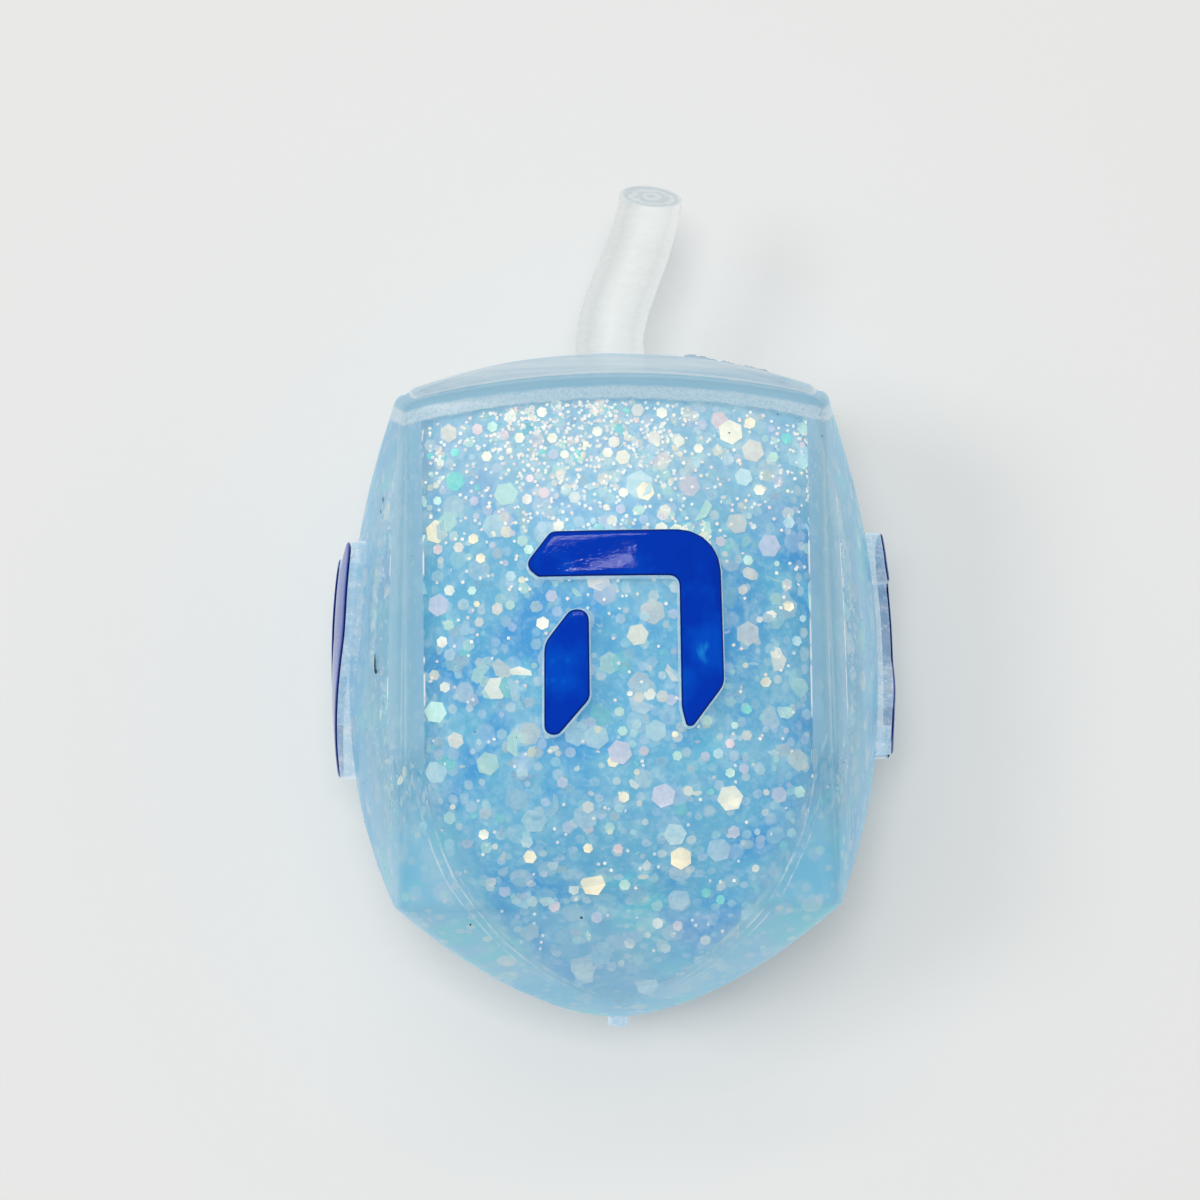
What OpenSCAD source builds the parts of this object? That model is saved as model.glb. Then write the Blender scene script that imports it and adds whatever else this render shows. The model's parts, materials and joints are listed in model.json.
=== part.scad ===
// A soft, see-through dreidel: a hollow rubber body with a raised letter on each of its four
// faces, filled with pale blue liquid and hexagon glitter, and plugged by its own soft stem.
// It lies on its back letter: X is to the right, Y runs from the tip to the stem, Z is up.

/* [Body] */
// Half width of the body at the lower corners of its faces
low_corner = 23.7; // [20:0.1:30]
// Half width of the body at the upper corners of its faces
high_corner = 22.9; // [20:0.1:30]
// Height of the rounded point below the faces
point_h = 12.5; // [8:0.5:20]
// Height of the faces, up to the middle of their upper edges
face_h = 56.9; // [45:0.1:70]
// How far the top rises from the middle of an upper edge to its centre
dome_h = 4.5; // [2:0.1:8]
// How far the middle of an upper edge lies above its corners
edge_arch = 2.5; // [0:0.1:5]
// How far the middle of a face swells out
face_swell = 5.3; // [2:0.1:8]
// How far each corner of a section is rounded in
corner_round = 0.5; // [0.1:0.1:1]
// Rounding of the upper edges
edge_round = 0.9; // [0.3:0.1:2]

/* [Cavity] */
// Wall between the corners of the body and of the cavity, across a face
corner_wall = 2.6; // [2:0.1:4]
// Wall at the middle of a face
face_wall = 2; // [1.6:0.1:3]
// Wall at the centre of the top
top_wall = 3; // [2:0.1:5]
// Wall at the upper edges
edge_wall = 2.5; // [2:0.1:5]
// Wall at the tip
tip_wall = 1.6; // [1:0.1:4]
// Height above the tip at which the cavity's sides become straight
shoulder_h = 29.7; // [20:0.1:40]

/* [Letters] */
// Height of the raised letters above the faces
relief = 1.75; // [1:0.05:2.5]
// How deep the letters' roots reach into the wall
relief_root = 1; // [0.5:0.1:1.5]
// Thickness of the paint on the letters
paint_t = 0.25; // [0.1:0.05:0.5]
// Bare rim of a letter around its paint
paint_rim = 0.1; // [0.05:0.05:0.8]
// Height of the front letter
front_letter_h = 21.5; // [15:0.1:28]
// Height of the letters on the other faces
side_letter_h = 25; // [15:0.1:28]
// Height of the letters' middle above the tip
letter_mid = 41; // [35:0.1:46]
// How far the letter that the body lies on is pressed flat
rest_press = 1; // [0.6:0.1:1.6]

/* [Stem] */
// Diameter of the stem where it leaves the body
stem_d = 7.7; // [5:0.1:10]
// Diameter of the stem at its end
stem_end_d = 7; // [4:0.1:10]
// Free length of the stem
stem_len = 18; // [12:0.1:30]
// How far the stem's end is lifted off the body's axis
stem_rise = 1.6; // [0:0.1:4]
// How far the slanted cut drops across the stem's end
stem_cut = 2.4; // [0:0.1:4]
// Diameter of the stem's plug, in the fill hole
plug_d = 7.9; // [5:0.1:10]
// Gap between the plug and the fill hole
plug_gap = 0.05; // [0.02:0.01:0.1]

/* [Filling] */
// Gap between the liquid and the skin
fill_gap = 0.05; // [0.02:0.01:0.2]
// Width of the large glitter flakes, over their corners
large_flake = 3.2; // [2:0.1:4]
// Width of the medium glitter flakes
medium_flake = 1.6; // [1:0.1:2]
// Width of the small glitter flakes
small_flake = 0.8; // [0.4:0.1:1]
// Thickness of the flakes
flake_t = 0.2; // [0.1:0.05:0.3]
// Spacing of the flakes in the liquid
flake_pitch = 8; // [6:0.5:12]
// Seed for the places and turns of the flakes
flake_seed = 18; // [1:1:100]

/* [Hidden] */
$fn = 48;

// Shapes without a size: powers and shares of the sizes above
point_power = 0.58;
low_swell_power = 2.6;
high_swell_power = 2;
ogive_power = 2.2;
ogive_root = 1.4;
crown_share = 0.04;
arc_steps = 5;

// Ring points along one face, from its left corner almost to its right one, as shares of half its width
ring_shares = [-1, -0.93, -0.75, -0.5, -0.25, 0, 0.25, 0.5, 0.75, 0.93];
// How sharply the corner rounding fades from a corner into its faces
round_power = 24;
point_ring_shares = [0.08, 0.18, 0.3, 0.44, 0.58, 0.72, 0.86];
dome_ring_shares = [0.9, 0.78, 0.64, 0.5, 0.35, 0.2, 0.08];
ogive_ring_shares = [0.985, 0.94, 0.87, 0.77, 0.65, 0.5, 0.35, 0.2];
face_rings = 18;
cavity_face_rings = 12;
stem_rings = 14;
stem_sides = 28;

skin_colour = [0.55, 0.76, 0.9];
liquid_colour = [0.45, 0.7, 0.88];
stem_colour = [0.9, 0.92, 0.92];
paint_colour = [0.02, 0.2, 0.72];
large_colour = [0.95, 0.9, 0.75];
medium_colour = [0.7, 0.92, 0.9];
small_colour = [0.93, 0.84, 0.92];

// Places along the axis, from the tip
edge_y = point_h + face_h;
top_y = edge_y + dome_h;
cavity_corner = (low_corner + high_corner) / 2 - corner_wall;
cavity_edge_y = edge_y - edge_wall;
cavity_top_y = top_y - top_wall;

// The middle of a face, and the height of the axis over the surface that the body lies on
face_mid = half_width(face_share(letter_mid)) + bulge(face_share(letter_mid));
axis_h = face_mid + relief + paint_t - rest_press;

// A letter's top follows the swell of its face: its radius across the face, and along it
across_r = pow(half_width(face_share(letter_mid)), 2) / (2 * bulge(face_share(letter_mid)));
along_drop = bulge(face_share(letter_mid))
    - (bulge(face_share(letter_mid + side_letter_h / 2)) + bulge(face_share(letter_mid - side_letter_h / 2))) / 2;
along_r = pow(side_letter_h / 2, 2) / (2 * along_drop);
slab_angle = 24;
slab_steps = 240;

// The torn nub at the tip
nub_d = 2.4;
nub_end_d = 1.7;
nub_len = 1.1;
// How far shapes that are joined or cut run past each other
overrun = 0.5;

// The stem's route, as shares of its free length: to the right, and along the axis
stem_route_shares = [[0.01, 0], [-0.03, 0.33], [0.22, 0.6], [0.27, 1]];

// The letters as shares of their height from their middle, each stroke a list of corners with
// the corner's rounding. X runs to the right as the letter is read.
hei_bar_shares = [[-0.328, 0.514, 0.05], [-0.463, 0.344, 0.05], [-0.393, 0.284, 0.03],
    [0.299, 0.284, 0.045], [0.301, -0.36, 0.1], [0.325, -0.458, 0.02], [0.362, -0.456, 0.03],
    [0.519, -0.251, 0.1], [0.507, 0.519, 0.21]];
hei_leg_shares = [[-0.373, -0.496, 0.045], [-0.298, -0.491, 0.05], [-0.143, -0.316, 0.07],
    [-0.143, 0.129, 0.055], [-0.238, 0.124, 0.06], [-0.368, -0.041, 0.12]];
gimel_shares = [[-0.15, 0.5, 0.03], [-0.27, 0.34, 0.04], [-0.21, 0.28, 0.02], [0.03, 0.28, 0.04],
    [0.03, -0.06, 0.06], [-0.27, -0.29, 0.04], [-0.29, -0.42, 0.04], [-0.17, -0.5, 0.04],
    [0.02, -0.33, 0.03], [0.07, -0.5, 0.02], [0.13, -0.5, 0.03], [0.26, -0.32, 0.05], [0.26, 0.5, 0.2]];
nun_shares = [[-0.14, 0.5, 0.03], [-0.27, 0.34, 0.04], [-0.21, 0.28, 0.02], [0.03, 0.28, 0.04],
    [0.03, -0.27, 0.04], [-0.22, -0.27, 0.03], [-0.3, -0.38, 0.04], [-0.2, -0.5, 0.04],
    [0.26, -0.5, 0.08], [0.26, 0.5, 0.2]];
shin_shares = [[-0.49, 0.473, 0.06], [-0.49, 0.162, 0.3], [-0.2, -0.563, 0.12], [0.12, -0.563, 0.12],
    [0.49, 0.059, 0.3], [0.49, 0.442, 0.06], [0.4, 0.473, 0.04], [0.27, 0.328, 0.04],
    [0.27, 0.079, 0.2], [0.02, -0.325, 0.03], [-0.03, -0.325, 0.015], [0.1, -0.004, 0.12],
    [0.11, 0.369, 0.05], [0.02, 0.432, 0.04], [-0.1, 0.307, 0.05], [-0.12, 0.038, 0.15],
    [-0.2, -0.221, 0.04], [-0.27, 0.121, 0.2], [-0.27, 0.39, 0.05], [-0.36, 0.473, 0.05]];

// Half the width of the body's flat section, and the swell of its faces, at a share of the face height
function half_width(share) = low_corner + (high_corner - low_corner) * share;
function swell(share) = 1 - pow(abs(2 * share - 1), share < 0.5 ? low_swell_power : high_swell_power);
function bulge(share) = crown_share * half_width(share) + face_swell * swell(share);
function face_share(y) = max(0, min(1, (y - point_h) / face_h));

// A ring: [height at the middle of a side, drop to its corners, half width, bulge]
function point_ring(t) = [point_h * pow(t, 1 / point_power), 0, low_corner * t, crown_share * low_corner * t];
function face_ring(s) = [point_h + face_h * s, edge_arch * s, half_width(s), bulge(s)];
function dome_ring(t) = [top_y - dome_h * t * t, edge_arch * t * t, high_corner * t, crown_share * high_corner * t];
function edge_ring(angle) = [edge_y - edge_round * (1 - sin(angle)), edge_arch,
    high_corner - edge_round * (1 - cos(angle)), crown_share * high_corner];
body_rings = [
    for (t = point_ring_shares) point_ring(t),
    for (i = [0 : face_rings]) face_ring((1 - edge_round / face_h) * i / face_rings),
    edge_ring(45),
    for (t = dome_ring_shares) dome_ring(t)];

// The cavity's sides: straight above its shoulder, and drawn in like an ogive below it
function cavity_half(y) = y >= shoulder_h ? cavity_corner : cavity_corner
    * pow(1 - pow((shoulder_h - y) / (shoulder_h - tip_wall), ogive_power), 1 / ogive_root);
cavity_mid = half_width(0.5) + bulge(0.5) - face_wall;
function cavity_bulge(y) = cavity_half(y) * (crown_share
    + (cavity_mid / cavity_corner - 1 - crown_share) * swell(face_share(y)));
cavity_arch = edge_arch * pow(cavity_corner / high_corner, 2);
function cavity_ring(y, drop, gap) = [y, drop, cavity_half(y) - gap, cavity_bulge(y)];
function cavity_rings(gap) = [
    for (t = ogive_ring_shares) cavity_ring(shoulder_h - (shoulder_h - tip_wall) * t, 0, gap),
    for (i = [0 : cavity_face_rings]) let (s = i / cavity_face_rings)
        cavity_ring(shoulder_h + (cavity_edge_y - gap - shoulder_h) * s, cavity_arch * s, gap),
    for (t = dome_ring_shares) [cavity_top_y - gap - (cavity_top_y - cavity_edge_y) * t * t, cavity_arch * t * t,
        (cavity_corner - gap) * t, crown_share * cavity_corner * t]];

// One point of a ring, turned to the side that it lies on
function on_side(side, along, y, out) =
    side == 0 ? [along, y, out] : side == 1 ? [out, y, -along] : side == 2 ? [-along, y, -out] : [-out, y, along];
function ring_points(ring) = [
    for (side = [0 : 3]) for (a = ring_shares)
        let (pull = corner_round * min(1, ring[2] / low_corner) * pow(abs(a), round_power))
            on_side(side, a * (ring[2] - pull), ring[0] - ring[1] * a * a, ring[2] + ring[3] * (1 - a * a) - pull)];

// A closed body through sections of equal count, each a list of points, that ends in two points
module loft(sections, low, high) {
    n = len(sections[0]);
    last = len(sections) * n + 1;
    points = [low, for (section = sections) each section, high];
    sides = [for (r = [0 : len(sections) - 2]) for (j = [0 : n - 1])
        let (a = 1 + r * n + j, b = 1 + r * n + (j + 1) % n)
            each [[a, a + n, b + n], [a, b + n, b]]];
    low_fan = [for (j = [0 : n - 1]) [0, 1 + j, 1 + (j + 1) % n]];
    high_fan = [for (j = [0 : n - 1]) [last, last - n + (j + 1) % n, last - n + j]];
    polyhedron(points, concat(sides, low_fan, high_fan));
}

module body_loft(rings, low_y, high_y) {
    loft([for (r = rings) ring_points(r)], [0, low_y, 0], [0, high_y, 0]);
}

// The stem's centre line, a curve through its route, and a round section across it
function stem_at(t) =
    let (p = stem_route_shares, u = 1 - t,
        share = u * u * u * p[0] + 3 * u * u * t * p[1] + 3 * u * t * t * p[2] + t * t * t * p[3])
    [share[0] * stem_len, top_y + share[1] * stem_len, stem_rise * t * t];
function stem_section(t) =
    let (way = unit(stem_at(t + stem_step) - stem_at(t - stem_step)), side = unit([way[1], -way[0], 0]),
        up = cross(side, way), r = (stem_d + (stem_end_d - stem_d) * t) / 2, cut = t < 1 ? 0 : stem_cut / 2)
    [for (i = [0 : stem_sides - 1]) let (a = 360 * i / stem_sides)
        stem_at(t) + (side * sin(a) + up * cos(a)) * r - way * cut * cos(a)];
stem_step = 0.01;
stem_root = [for (p = stem_section(0)) [p[0], top_y - overrun, p[2]]];
stem_sections = [stem_root, for (i = [0 : stem_rings]) stem_section(i / stem_rings)];
middle_y = (max([for (p = stem_section(1)) p[1]]) - nub_len) / 2;

// The flakes lie in a lattice, each moved and turned at random in its own cell. Of three in a row,
// one is large, one medium and one small.
cells_across = floor(cavity_corner / flake_pitch);
cells_along = floor((cavity_edge_y - cavity_arch - tip_wall) / flake_pitch) - 1;
cell_move = (flake_pitch - large_flake) / 2 - flake_t;
chance = rands(-1, 1, pow(cells_across * 2 + 1, 2) * (cells_along + 1) * 6, flake_seed);
flake_places = [
    for (i = [-cells_across : cells_across]) for (j = [0 : cells_along]) for (k = [-cells_across : cells_across])
        let (across = cells_across * 2 + 1,
            n = (((i + cells_across) * (cells_along + 1) + j) * across + k + cells_across) * 6,
            move = [chance[n], chance[n + 1], chance[n + 2]] * cell_move,
            at = [i, j + 1, k] * flake_pitch + [0, tip_wall, 0] + move)
            if (max(abs(at[0]), abs(at[2])) + large_flake / 2 < cavity_half(at[1] - large_flake / 2))
                [(i + j + k + cells_across * 2) % 3, at, [chance[n + 3], chance[n + 4], chance[n + 5]] * 90]];

// Everything is drawn around the axis from the tip, and then laid down
module laid_down() {
    translate([0, -middle_y, axis_h]) children();
}

// The corners of an outline as arcs that touch both sides of each corner
function unit(v) = v / norm(v);
function corner_arc(before, corner, after, r) =
    let (u = unit(before - corner), v = unit(after - corner), half = acos(u * v) / 2,
        centre = corner + unit(u + v) * r / sin(half),
        from = corner + u * r / tan(half) - centre, to = corner + v * r / tan(half) - centre,
        turn = atan2(from[0] * to[1] - from[1] * to[0], from * to))
    [for (i = [0 : arc_steps]) let (t = turn * i / arc_steps)
        centre + [from[0] * cos(t) - from[1] * sin(t), from[0] * sin(t) + from[1] * cos(t)]];
function corner(shares, i, size) = let (share = shares[i % len(shares)]) [share[0], share[1]] * size;
function outline(shares, size) = [
    for (i = [0 : len(shares) - 1])
        each corner_arc(corner(shares, i + len(shares) - 1, size), corner(shares, i, size),
            corner(shares, i + 1, size), shares[i][2] * size)];

// The section of the bent slab: a circle, or where the bend is too tight for a whole one, the
// side of the circle that lies outside the axis of the bend
module slab_section() {
    if (along_r > across_r * 2) translate([along_r - across_r, 0]) circle(r = across_r);
    else intersection() {
        translate([along_r - across_r, 0]) circle(r = across_r);
        translate([0, -across_r]) square([along_r, across_r * 2]);
    }
}

// The swelled surface of a face, raised by rise, as a bent slab under it that is as round as the face
module face_slab(rise) {
    translate([0, letter_mid, face_mid + rise - along_r])
        rotate([0, 90, 0])
        rotate([0, 0, 180 - slab_angle / 2])
        rotate_extrude(angle = slab_angle, $fn = slab_steps)
        slab_section();
}

// The same, but cut flat by the surface that the body lies on
module pressed_slab(rise) {
    intersection() {
        face_slab(rise);
        translate([-face_mid, 0, 0]) cube([face_mid * 2, top_y, axis_h - paint_t - relief + rise]);
    }
}

module slab(rise, pressed) {
    if (pressed) pressed_slab(rise);
    else face_slab(rise);
}

// One stroke of a letter as a prism that stands on the axis and runs out past its face
module stroke(shares, size, rim) {
    translate([0, letter_mid, 0])
        linear_extrude(height = face_mid + relief * 2)
        offset(delta = -rim)
        polygon(outline(shares, size));
}

// One stroke's raised pad, with its root in the wall
module pad(shares, size, pressed = false) {
    intersection() {
        stroke(shares, size, 0);
        difference() {
            slab(relief, pressed);
            face_slab(-relief_root);
        }
    }
}

// The paint on one stroke
module paint(shares, size, pressed = false) {
    intersection() {
        stroke(shares, size, paint_rim);
        difference() {
            slab(relief + paint_t, pressed);
            slab(relief, pressed);
        }
    }
}

// Turns to the faces, from the front one
module on_front() { children(); }
module on_right() { rotate([0, 90, 0]) children(); }
module on_back() { rotate([0, 180, 0]) children(); }
module on_left() { rotate([0, 270, 0]) children(); }

module fill_hole() {
    translate([0, top_y + overrun, 0])
        rotate([90, 0, 0])
        cylinder(d = plug_d + plug_gap * 2, h = top_wall + overrun * 2);
}

module nub() {
    translate([0, overrun, 0])
        rotate([90, 0, 0])
        cylinder(d1 = nub_d, d2 = nub_end_d, h = nub_len + overrun);
}

module skin() {
    color(skin_colour) laid_down() difference() {
        union() {
            body_loft(body_rings, 0, top_y);
            on_front() pad(hei_bar_shares, front_letter_h);
            on_front() pad(hei_leg_shares, front_letter_h);
            on_right() pad(gimel_shares, side_letter_h);
            on_left() pad(shin_shares, side_letter_h);
            on_back() pad(nun_shares, side_letter_h, pressed = true);
            nub();
        }
        body_loft(cavity_rings(0), tip_wall, cavity_top_y);
        fill_hole();
    }
}

module liquid_fill() {
    color(liquid_colour) laid_down()
        body_loft(cavity_rings(fill_gap), tip_wall + fill_gap, cavity_top_y - fill_gap);
}

module stem() {
    color(stem_colour) laid_down() {
        translate([0, top_y, 0])
            rotate([90, 0, 0])
            cylinder(d = plug_d, h = top_wall - fill_gap);
        loft(stem_sections, [0, top_y - overrun, 0], stem_at(1));
    }
}

module paint_hei() {
    color(paint_colour) laid_down() on_front() {
        paint(hei_bar_shares, front_letter_h);
        paint(hei_leg_shares, front_letter_h);
    }
}

module paint_gimel() {
    color(paint_colour) laid_down() on_right() paint(gimel_shares, side_letter_h);
}

module paint_shin() {
    color(paint_colour) laid_down() on_left() paint(shin_shares, side_letter_h);
}

module paint_nun() {
    color(paint_colour) laid_down() on_back() paint(nun_shares, side_letter_h, pressed = true);
}

// Every third flake of the lattice, from this one on
module flakes(first, width) {
    laid_down() for (flake = flake_places)
        if (flake[0] == first)
            translate(flake[1]) rotate(flake[2]) cylinder(d = width, h = flake_t, center = true, $fn = 6);
}

module glitter_large() { color(large_colour) flakes(0, large_flake); }
module glitter_medium() { color(medium_colour) flakes(1, medium_flake); }
module glitter_small() { color(small_colour) flakes(2, small_flake); }

skin();
liquid_fill();
stem();
paint_hei();
paint_gimel();
paint_shin();
paint_nun();
glitter_large();
glitter_medium();
glitter_small();
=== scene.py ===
import json
import math
import random

import bpy
import numpy as np
from mathutils import Matrix, Vector

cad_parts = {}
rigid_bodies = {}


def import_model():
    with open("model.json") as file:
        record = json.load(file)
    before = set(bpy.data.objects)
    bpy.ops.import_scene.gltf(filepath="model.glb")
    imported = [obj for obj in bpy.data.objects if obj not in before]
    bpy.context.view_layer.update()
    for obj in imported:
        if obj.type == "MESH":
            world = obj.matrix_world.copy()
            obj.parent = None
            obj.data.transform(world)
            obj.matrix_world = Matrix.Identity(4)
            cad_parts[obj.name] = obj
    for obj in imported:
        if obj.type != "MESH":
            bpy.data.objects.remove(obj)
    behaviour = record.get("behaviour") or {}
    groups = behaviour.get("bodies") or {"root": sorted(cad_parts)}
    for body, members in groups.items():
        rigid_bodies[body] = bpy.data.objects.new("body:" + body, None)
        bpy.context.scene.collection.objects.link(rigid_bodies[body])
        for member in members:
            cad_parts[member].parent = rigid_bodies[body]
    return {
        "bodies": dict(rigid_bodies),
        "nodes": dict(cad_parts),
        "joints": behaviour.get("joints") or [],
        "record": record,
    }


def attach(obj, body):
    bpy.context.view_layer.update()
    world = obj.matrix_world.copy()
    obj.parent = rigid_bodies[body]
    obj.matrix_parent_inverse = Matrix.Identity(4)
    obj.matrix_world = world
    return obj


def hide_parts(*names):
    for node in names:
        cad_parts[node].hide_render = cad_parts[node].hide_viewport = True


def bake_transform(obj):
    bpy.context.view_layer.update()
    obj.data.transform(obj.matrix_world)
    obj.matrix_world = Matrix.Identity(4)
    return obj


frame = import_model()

bl_info = {
    "name": "Soft glitter dreidel",
    "version": (1, 0, 0),
    "blender": (4, 5, 0),
    "location": "3D View > Sidebar > Dreidel",
    "description": "Builds a soft, see-through dreidel filled with blue liquid and glitter",
    "category": "Object",
}

MM = 0.001
SIDES = {"front": 0, "right": 1, "back": 2, "left": 3}

# Shapes without a size, as in the part's source: the share that every side is crowned by, and powers
CROWN = 0.04
POINT_POWER = 0.58
LOW_SWELL_POWER = 2.6
HIGH_SWELL_POWER = 2.0
OGIVE_POWER = 2.2
OGIVE_ROOT = 1.4
ROUND_POWER = 24

# The letters as shares of their height from their middle, each stroke a list of corners with
# the corner's rounding. They read with X to the right.
HEI_BAR = [(-0.328, 0.514, 0.05), (-0.463, 0.344, 0.05), (-0.393, 0.284, 0.03), (0.299, 0.284, 0.045),
           (0.301, -0.36, 0.1), (0.325, -0.458, 0.02), (0.362, -0.456, 0.03), (0.519, -0.251, 0.1),
           (0.507, 0.519, 0.21)]
HEI_LEG = [(-0.373, -0.496, 0.045), (-0.298, -0.491, 0.05), (-0.143, -0.316, 0.07),
           (-0.143, 0.129, 0.055), (-0.238, 0.124, 0.06), (-0.368, -0.041, 0.12)]
GIMEL = [(-0.15, 0.5, 0.03), (-0.27, 0.34, 0.04), (-0.21, 0.28, 0.02), (0.03, 0.28, 0.04),
         (0.03, -0.06, 0.06), (-0.27, -0.29, 0.04), (-0.29, -0.42, 0.04), (-0.17, -0.5, 0.04),
         (0.02, -0.33, 0.03), (0.07, -0.5, 0.02), (0.13, -0.5, 0.03), (0.26, -0.32, 0.05),
         (0.26, 0.5, 0.2)]
NUN = [(-0.14, 0.5, 0.03), (-0.27, 0.34, 0.04), (-0.21, 0.28, 0.02), (0.03, 0.28, 0.04),
       (0.03, -0.27, 0.04), (-0.22, -0.27, 0.03), (-0.3, -0.38, 0.04), (-0.2, -0.5, 0.04),
       (0.26, -0.5, 0.08), (0.26, 0.5, 0.2)]
SHIN = [(-0.49, 0.473, 0.06), (-0.49, 0.162, 0.3), (-0.2, -0.563, 0.12), (0.12, -0.563, 0.12),
        (0.49, 0.059, 0.3), (0.49, 0.442, 0.06), (0.4, 0.473, 0.04), (0.27, 0.328, 0.04),
        (0.27, 0.079, 0.2), (0.02, -0.325, 0.03), (-0.03, -0.325, 0.015), (0.1, -0.004, 0.12),
        (0.11, 0.369, 0.05), (0.02, 0.432, 0.04), (-0.1, 0.307, 0.05), (-0.12, 0.038, 0.15),
        (-0.2, -0.221, 0.04), (-0.27, 0.121, 0.2), (-0.27, 0.39, 0.05), (-0.36, 0.473, 0.05)]


def tone(red, green, blue):
    """A colour as it is seen, from 0 to 255, as the light values that Blender works with."""
    return tuple((c / 255 / 12.92) if c <= 10 else ((c / 255 + 0.055) / 1.055) ** 2.4
                 for c in (red, green, blue)) + (1.0,)


# Settings that a user would change

def length(name, description, default):
    return bpy.props.FloatProperty(name=name, description=description, default=default,
                                   min=0.0, precision=5, unit="LENGTH")


def how_many(name, description, default):
    return bpy.props.IntProperty(name=name, description=description, default=default, min=0)


def colour(name, description, default):
    return bpy.props.FloatVectorProperty(name=name, description=description, default=default,
                                         size=4, min=0, max=1, subtype="COLOR")


class BodySizes(bpy.types.PropertyGroup):
    low_corner: length("Low corner", "Half width at the lower corners of the faces", 0.0237)
    high_corner: length("High corner", "Half width at the upper corners of the faces", 0.0229)
    point_h: length("Point height", "Height of the rounded point below the faces", 0.0125)
    face_h: length("Face height", "Height of the faces, up to the middle of their upper edges", 0.0569)
    dome_h: length("Dome height", "Rise of the top over its upper edges", 0.0045)
    edge_arch: length("Edge arch", "How far an upper edge's middle lies over its corners", 0.0025)
    face_swell: length("Face swell", "How far the middle of a face swells out", 0.0053)
    corner_round: length("Corner rounding", "How far each corner is rounded in", 0.0005)
    edge_round: length("Edge rounding", "Rounding of the upper edges", 0.0009)
    corner_wall: length("Corner wall", "Wall between the corners of body and cavity", 0.0026)
    face_wall: length("Face wall", "Wall at the middle of a face", 0.002)
    top_wall: length("Top wall", "Wall at the centre of the top", 0.003)
    edge_wall: length("Edge wall", "Wall at the upper edges", 0.0025)
    tip_wall: length("Tip wall", "Wall at the tip", 0.0016)
    shoulder_h: length("Shoulder height", "Where the cavity's sides become straight", 0.0297)
    axis_h: length("Axis height", "Height of the axis over the floor", 0.03053)
    middle_y: length("Middle", "Distance from the tip to the origin", 0.04627)


class LetterSizes(bpy.types.PropertyGroup):
    relief: length("Relief", "Height of the raised letters", 0.00175)
    paint_t: length("Paint", "Thickness of the paint", 0.00025)
    paint_rim: length("Rim", "Bare rim of a letter round its paint", 0.00006)
    front_h: length("Front letter", "Height of the front letter", 0.0215)
    side_h: length("Other letters", "Height of the other letters", 0.025)
    middle_h: length("Letter height", "Height of the letters' middle over the tip", 0.041)


class StemSizes(bpy.types.PropertyGroup):
    stem_d: length("Diameter", "Diameter where the stem leaves the body", 0.0077)
    end_d: length("End diameter", "Diameter at the stem's end", 0.007)
    stem_len: length("Length", "Free length of the stem", 0.018)
    rise: length("Rise", "How far the end is lifted off the axis", 0.0016)
    cut: length("Cut", "How far the slanted cut drops across the end", 0.0024)
    plug_d: length("Plug", "Diameter of the plug in the fill hole", 0.0079)


class GlitterSettings(bpy.types.PropertyGroup):
    large: length("Large", "Width of the large flakes", 0.0032)
    medium: length("Medium", "Width of the medium flakes", 0.0016)
    small: length("Small", "Width of the small flakes", 0.0009)
    fine: length("Fine", "Width of the finest flakes", 0.0004)
    large_count: how_many("Large count", "How many large flakes", 460)
    medium_count: how_many("Medium count", "How many medium flakes", 1700)
    small_count: how_many("Small count", "How many small flakes", 1500)
    fine_count: how_many("Fine count", "How many of the finest flakes", 5000)
    seed: how_many("Seed", "Seed for the places of the flakes", 7)


class Colours(bpy.types.PropertyGroup):
    rubber: colour("Rubber", "The milky blue of the skin", tone(150, 196, 218))
    rubber_deep: colour("Thick rubber", "The skin where its wall is thick", tone(134, 188, 216))
    liquid: colour("Liquid", "The liquid", tone(102, 173, 203))
    liquid_deep: colour("Deep liquid", "The liquid where it is deepest", tone(50, 144, 203))
    liquid_green: colour("Turquoise", "The liquid's turquoise patches", tone(98, 196, 208))
    paint: colour("Paint", "The paint on the letters", tone(0, 54, 180))
    paint_edge: colour("Paint edge", "The paint along its edge", tone(0, 22, 96))
    stem: colour("Stem", "The clear stem", tone(233, 235, 233))
    floor: colour("Floor", "The floor and the backdrop", tone(236, 236, 234))


# The body's shape, as in the part's source

def half_width(b, share):
    return b.low_corner + (b.high_corner - b.low_corner) * share


def swell(share):
    return 1 - np.abs(2 * share - 1) ** np.where(share < 0.5, LOW_SWELL_POWER, HIGH_SWELL_POWER)


def bulge(b, share):
    return CROWN * half_width(b, share) + b.face_swell * swell(share)


def face_share(b, y):
    return np.clip((y - b.point_h) / b.face_h, 0, 1)


def edge_y(b):
    return b.point_h + b.face_h


def top_y(b):
    return edge_y(b) + b.dome_h


def cavity_corner(b):
    return (b.low_corner + b.high_corner) / 2 - b.corner_wall


def cavity_half(b, y):
    drop = np.clip((b.shoulder_h - y) / (b.shoulder_h - b.tip_wall), 0, 1)
    return cavity_corner(b) * (1 - drop ** OGIVE_POWER) ** (1 / OGIVE_ROOT)


def cavity_bulge(b, y):
    middle = half_width(b, 0.5) + bulge(b, 0.5) - b.face_wall
    return cavity_half(b, y) * (CROWN + (middle / cavity_corner(b) - 1 - CROWN) * swell(face_share(b, y)))


def on_side(side, along, y, out):
    """A point of one side of the body, in the row frame: along the side, up the axis, out from it."""
    x = (along, out, -along, -out)[side]
    z = (out, -along, -out, along)[side]
    return np.stack([x, y, z], -1)


def laid_down(b, points):
    """Points drawn round the axis from the tip, moved to where the body lies."""
    return points + np.array([0, -b.middle_y, b.axis_h])


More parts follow.
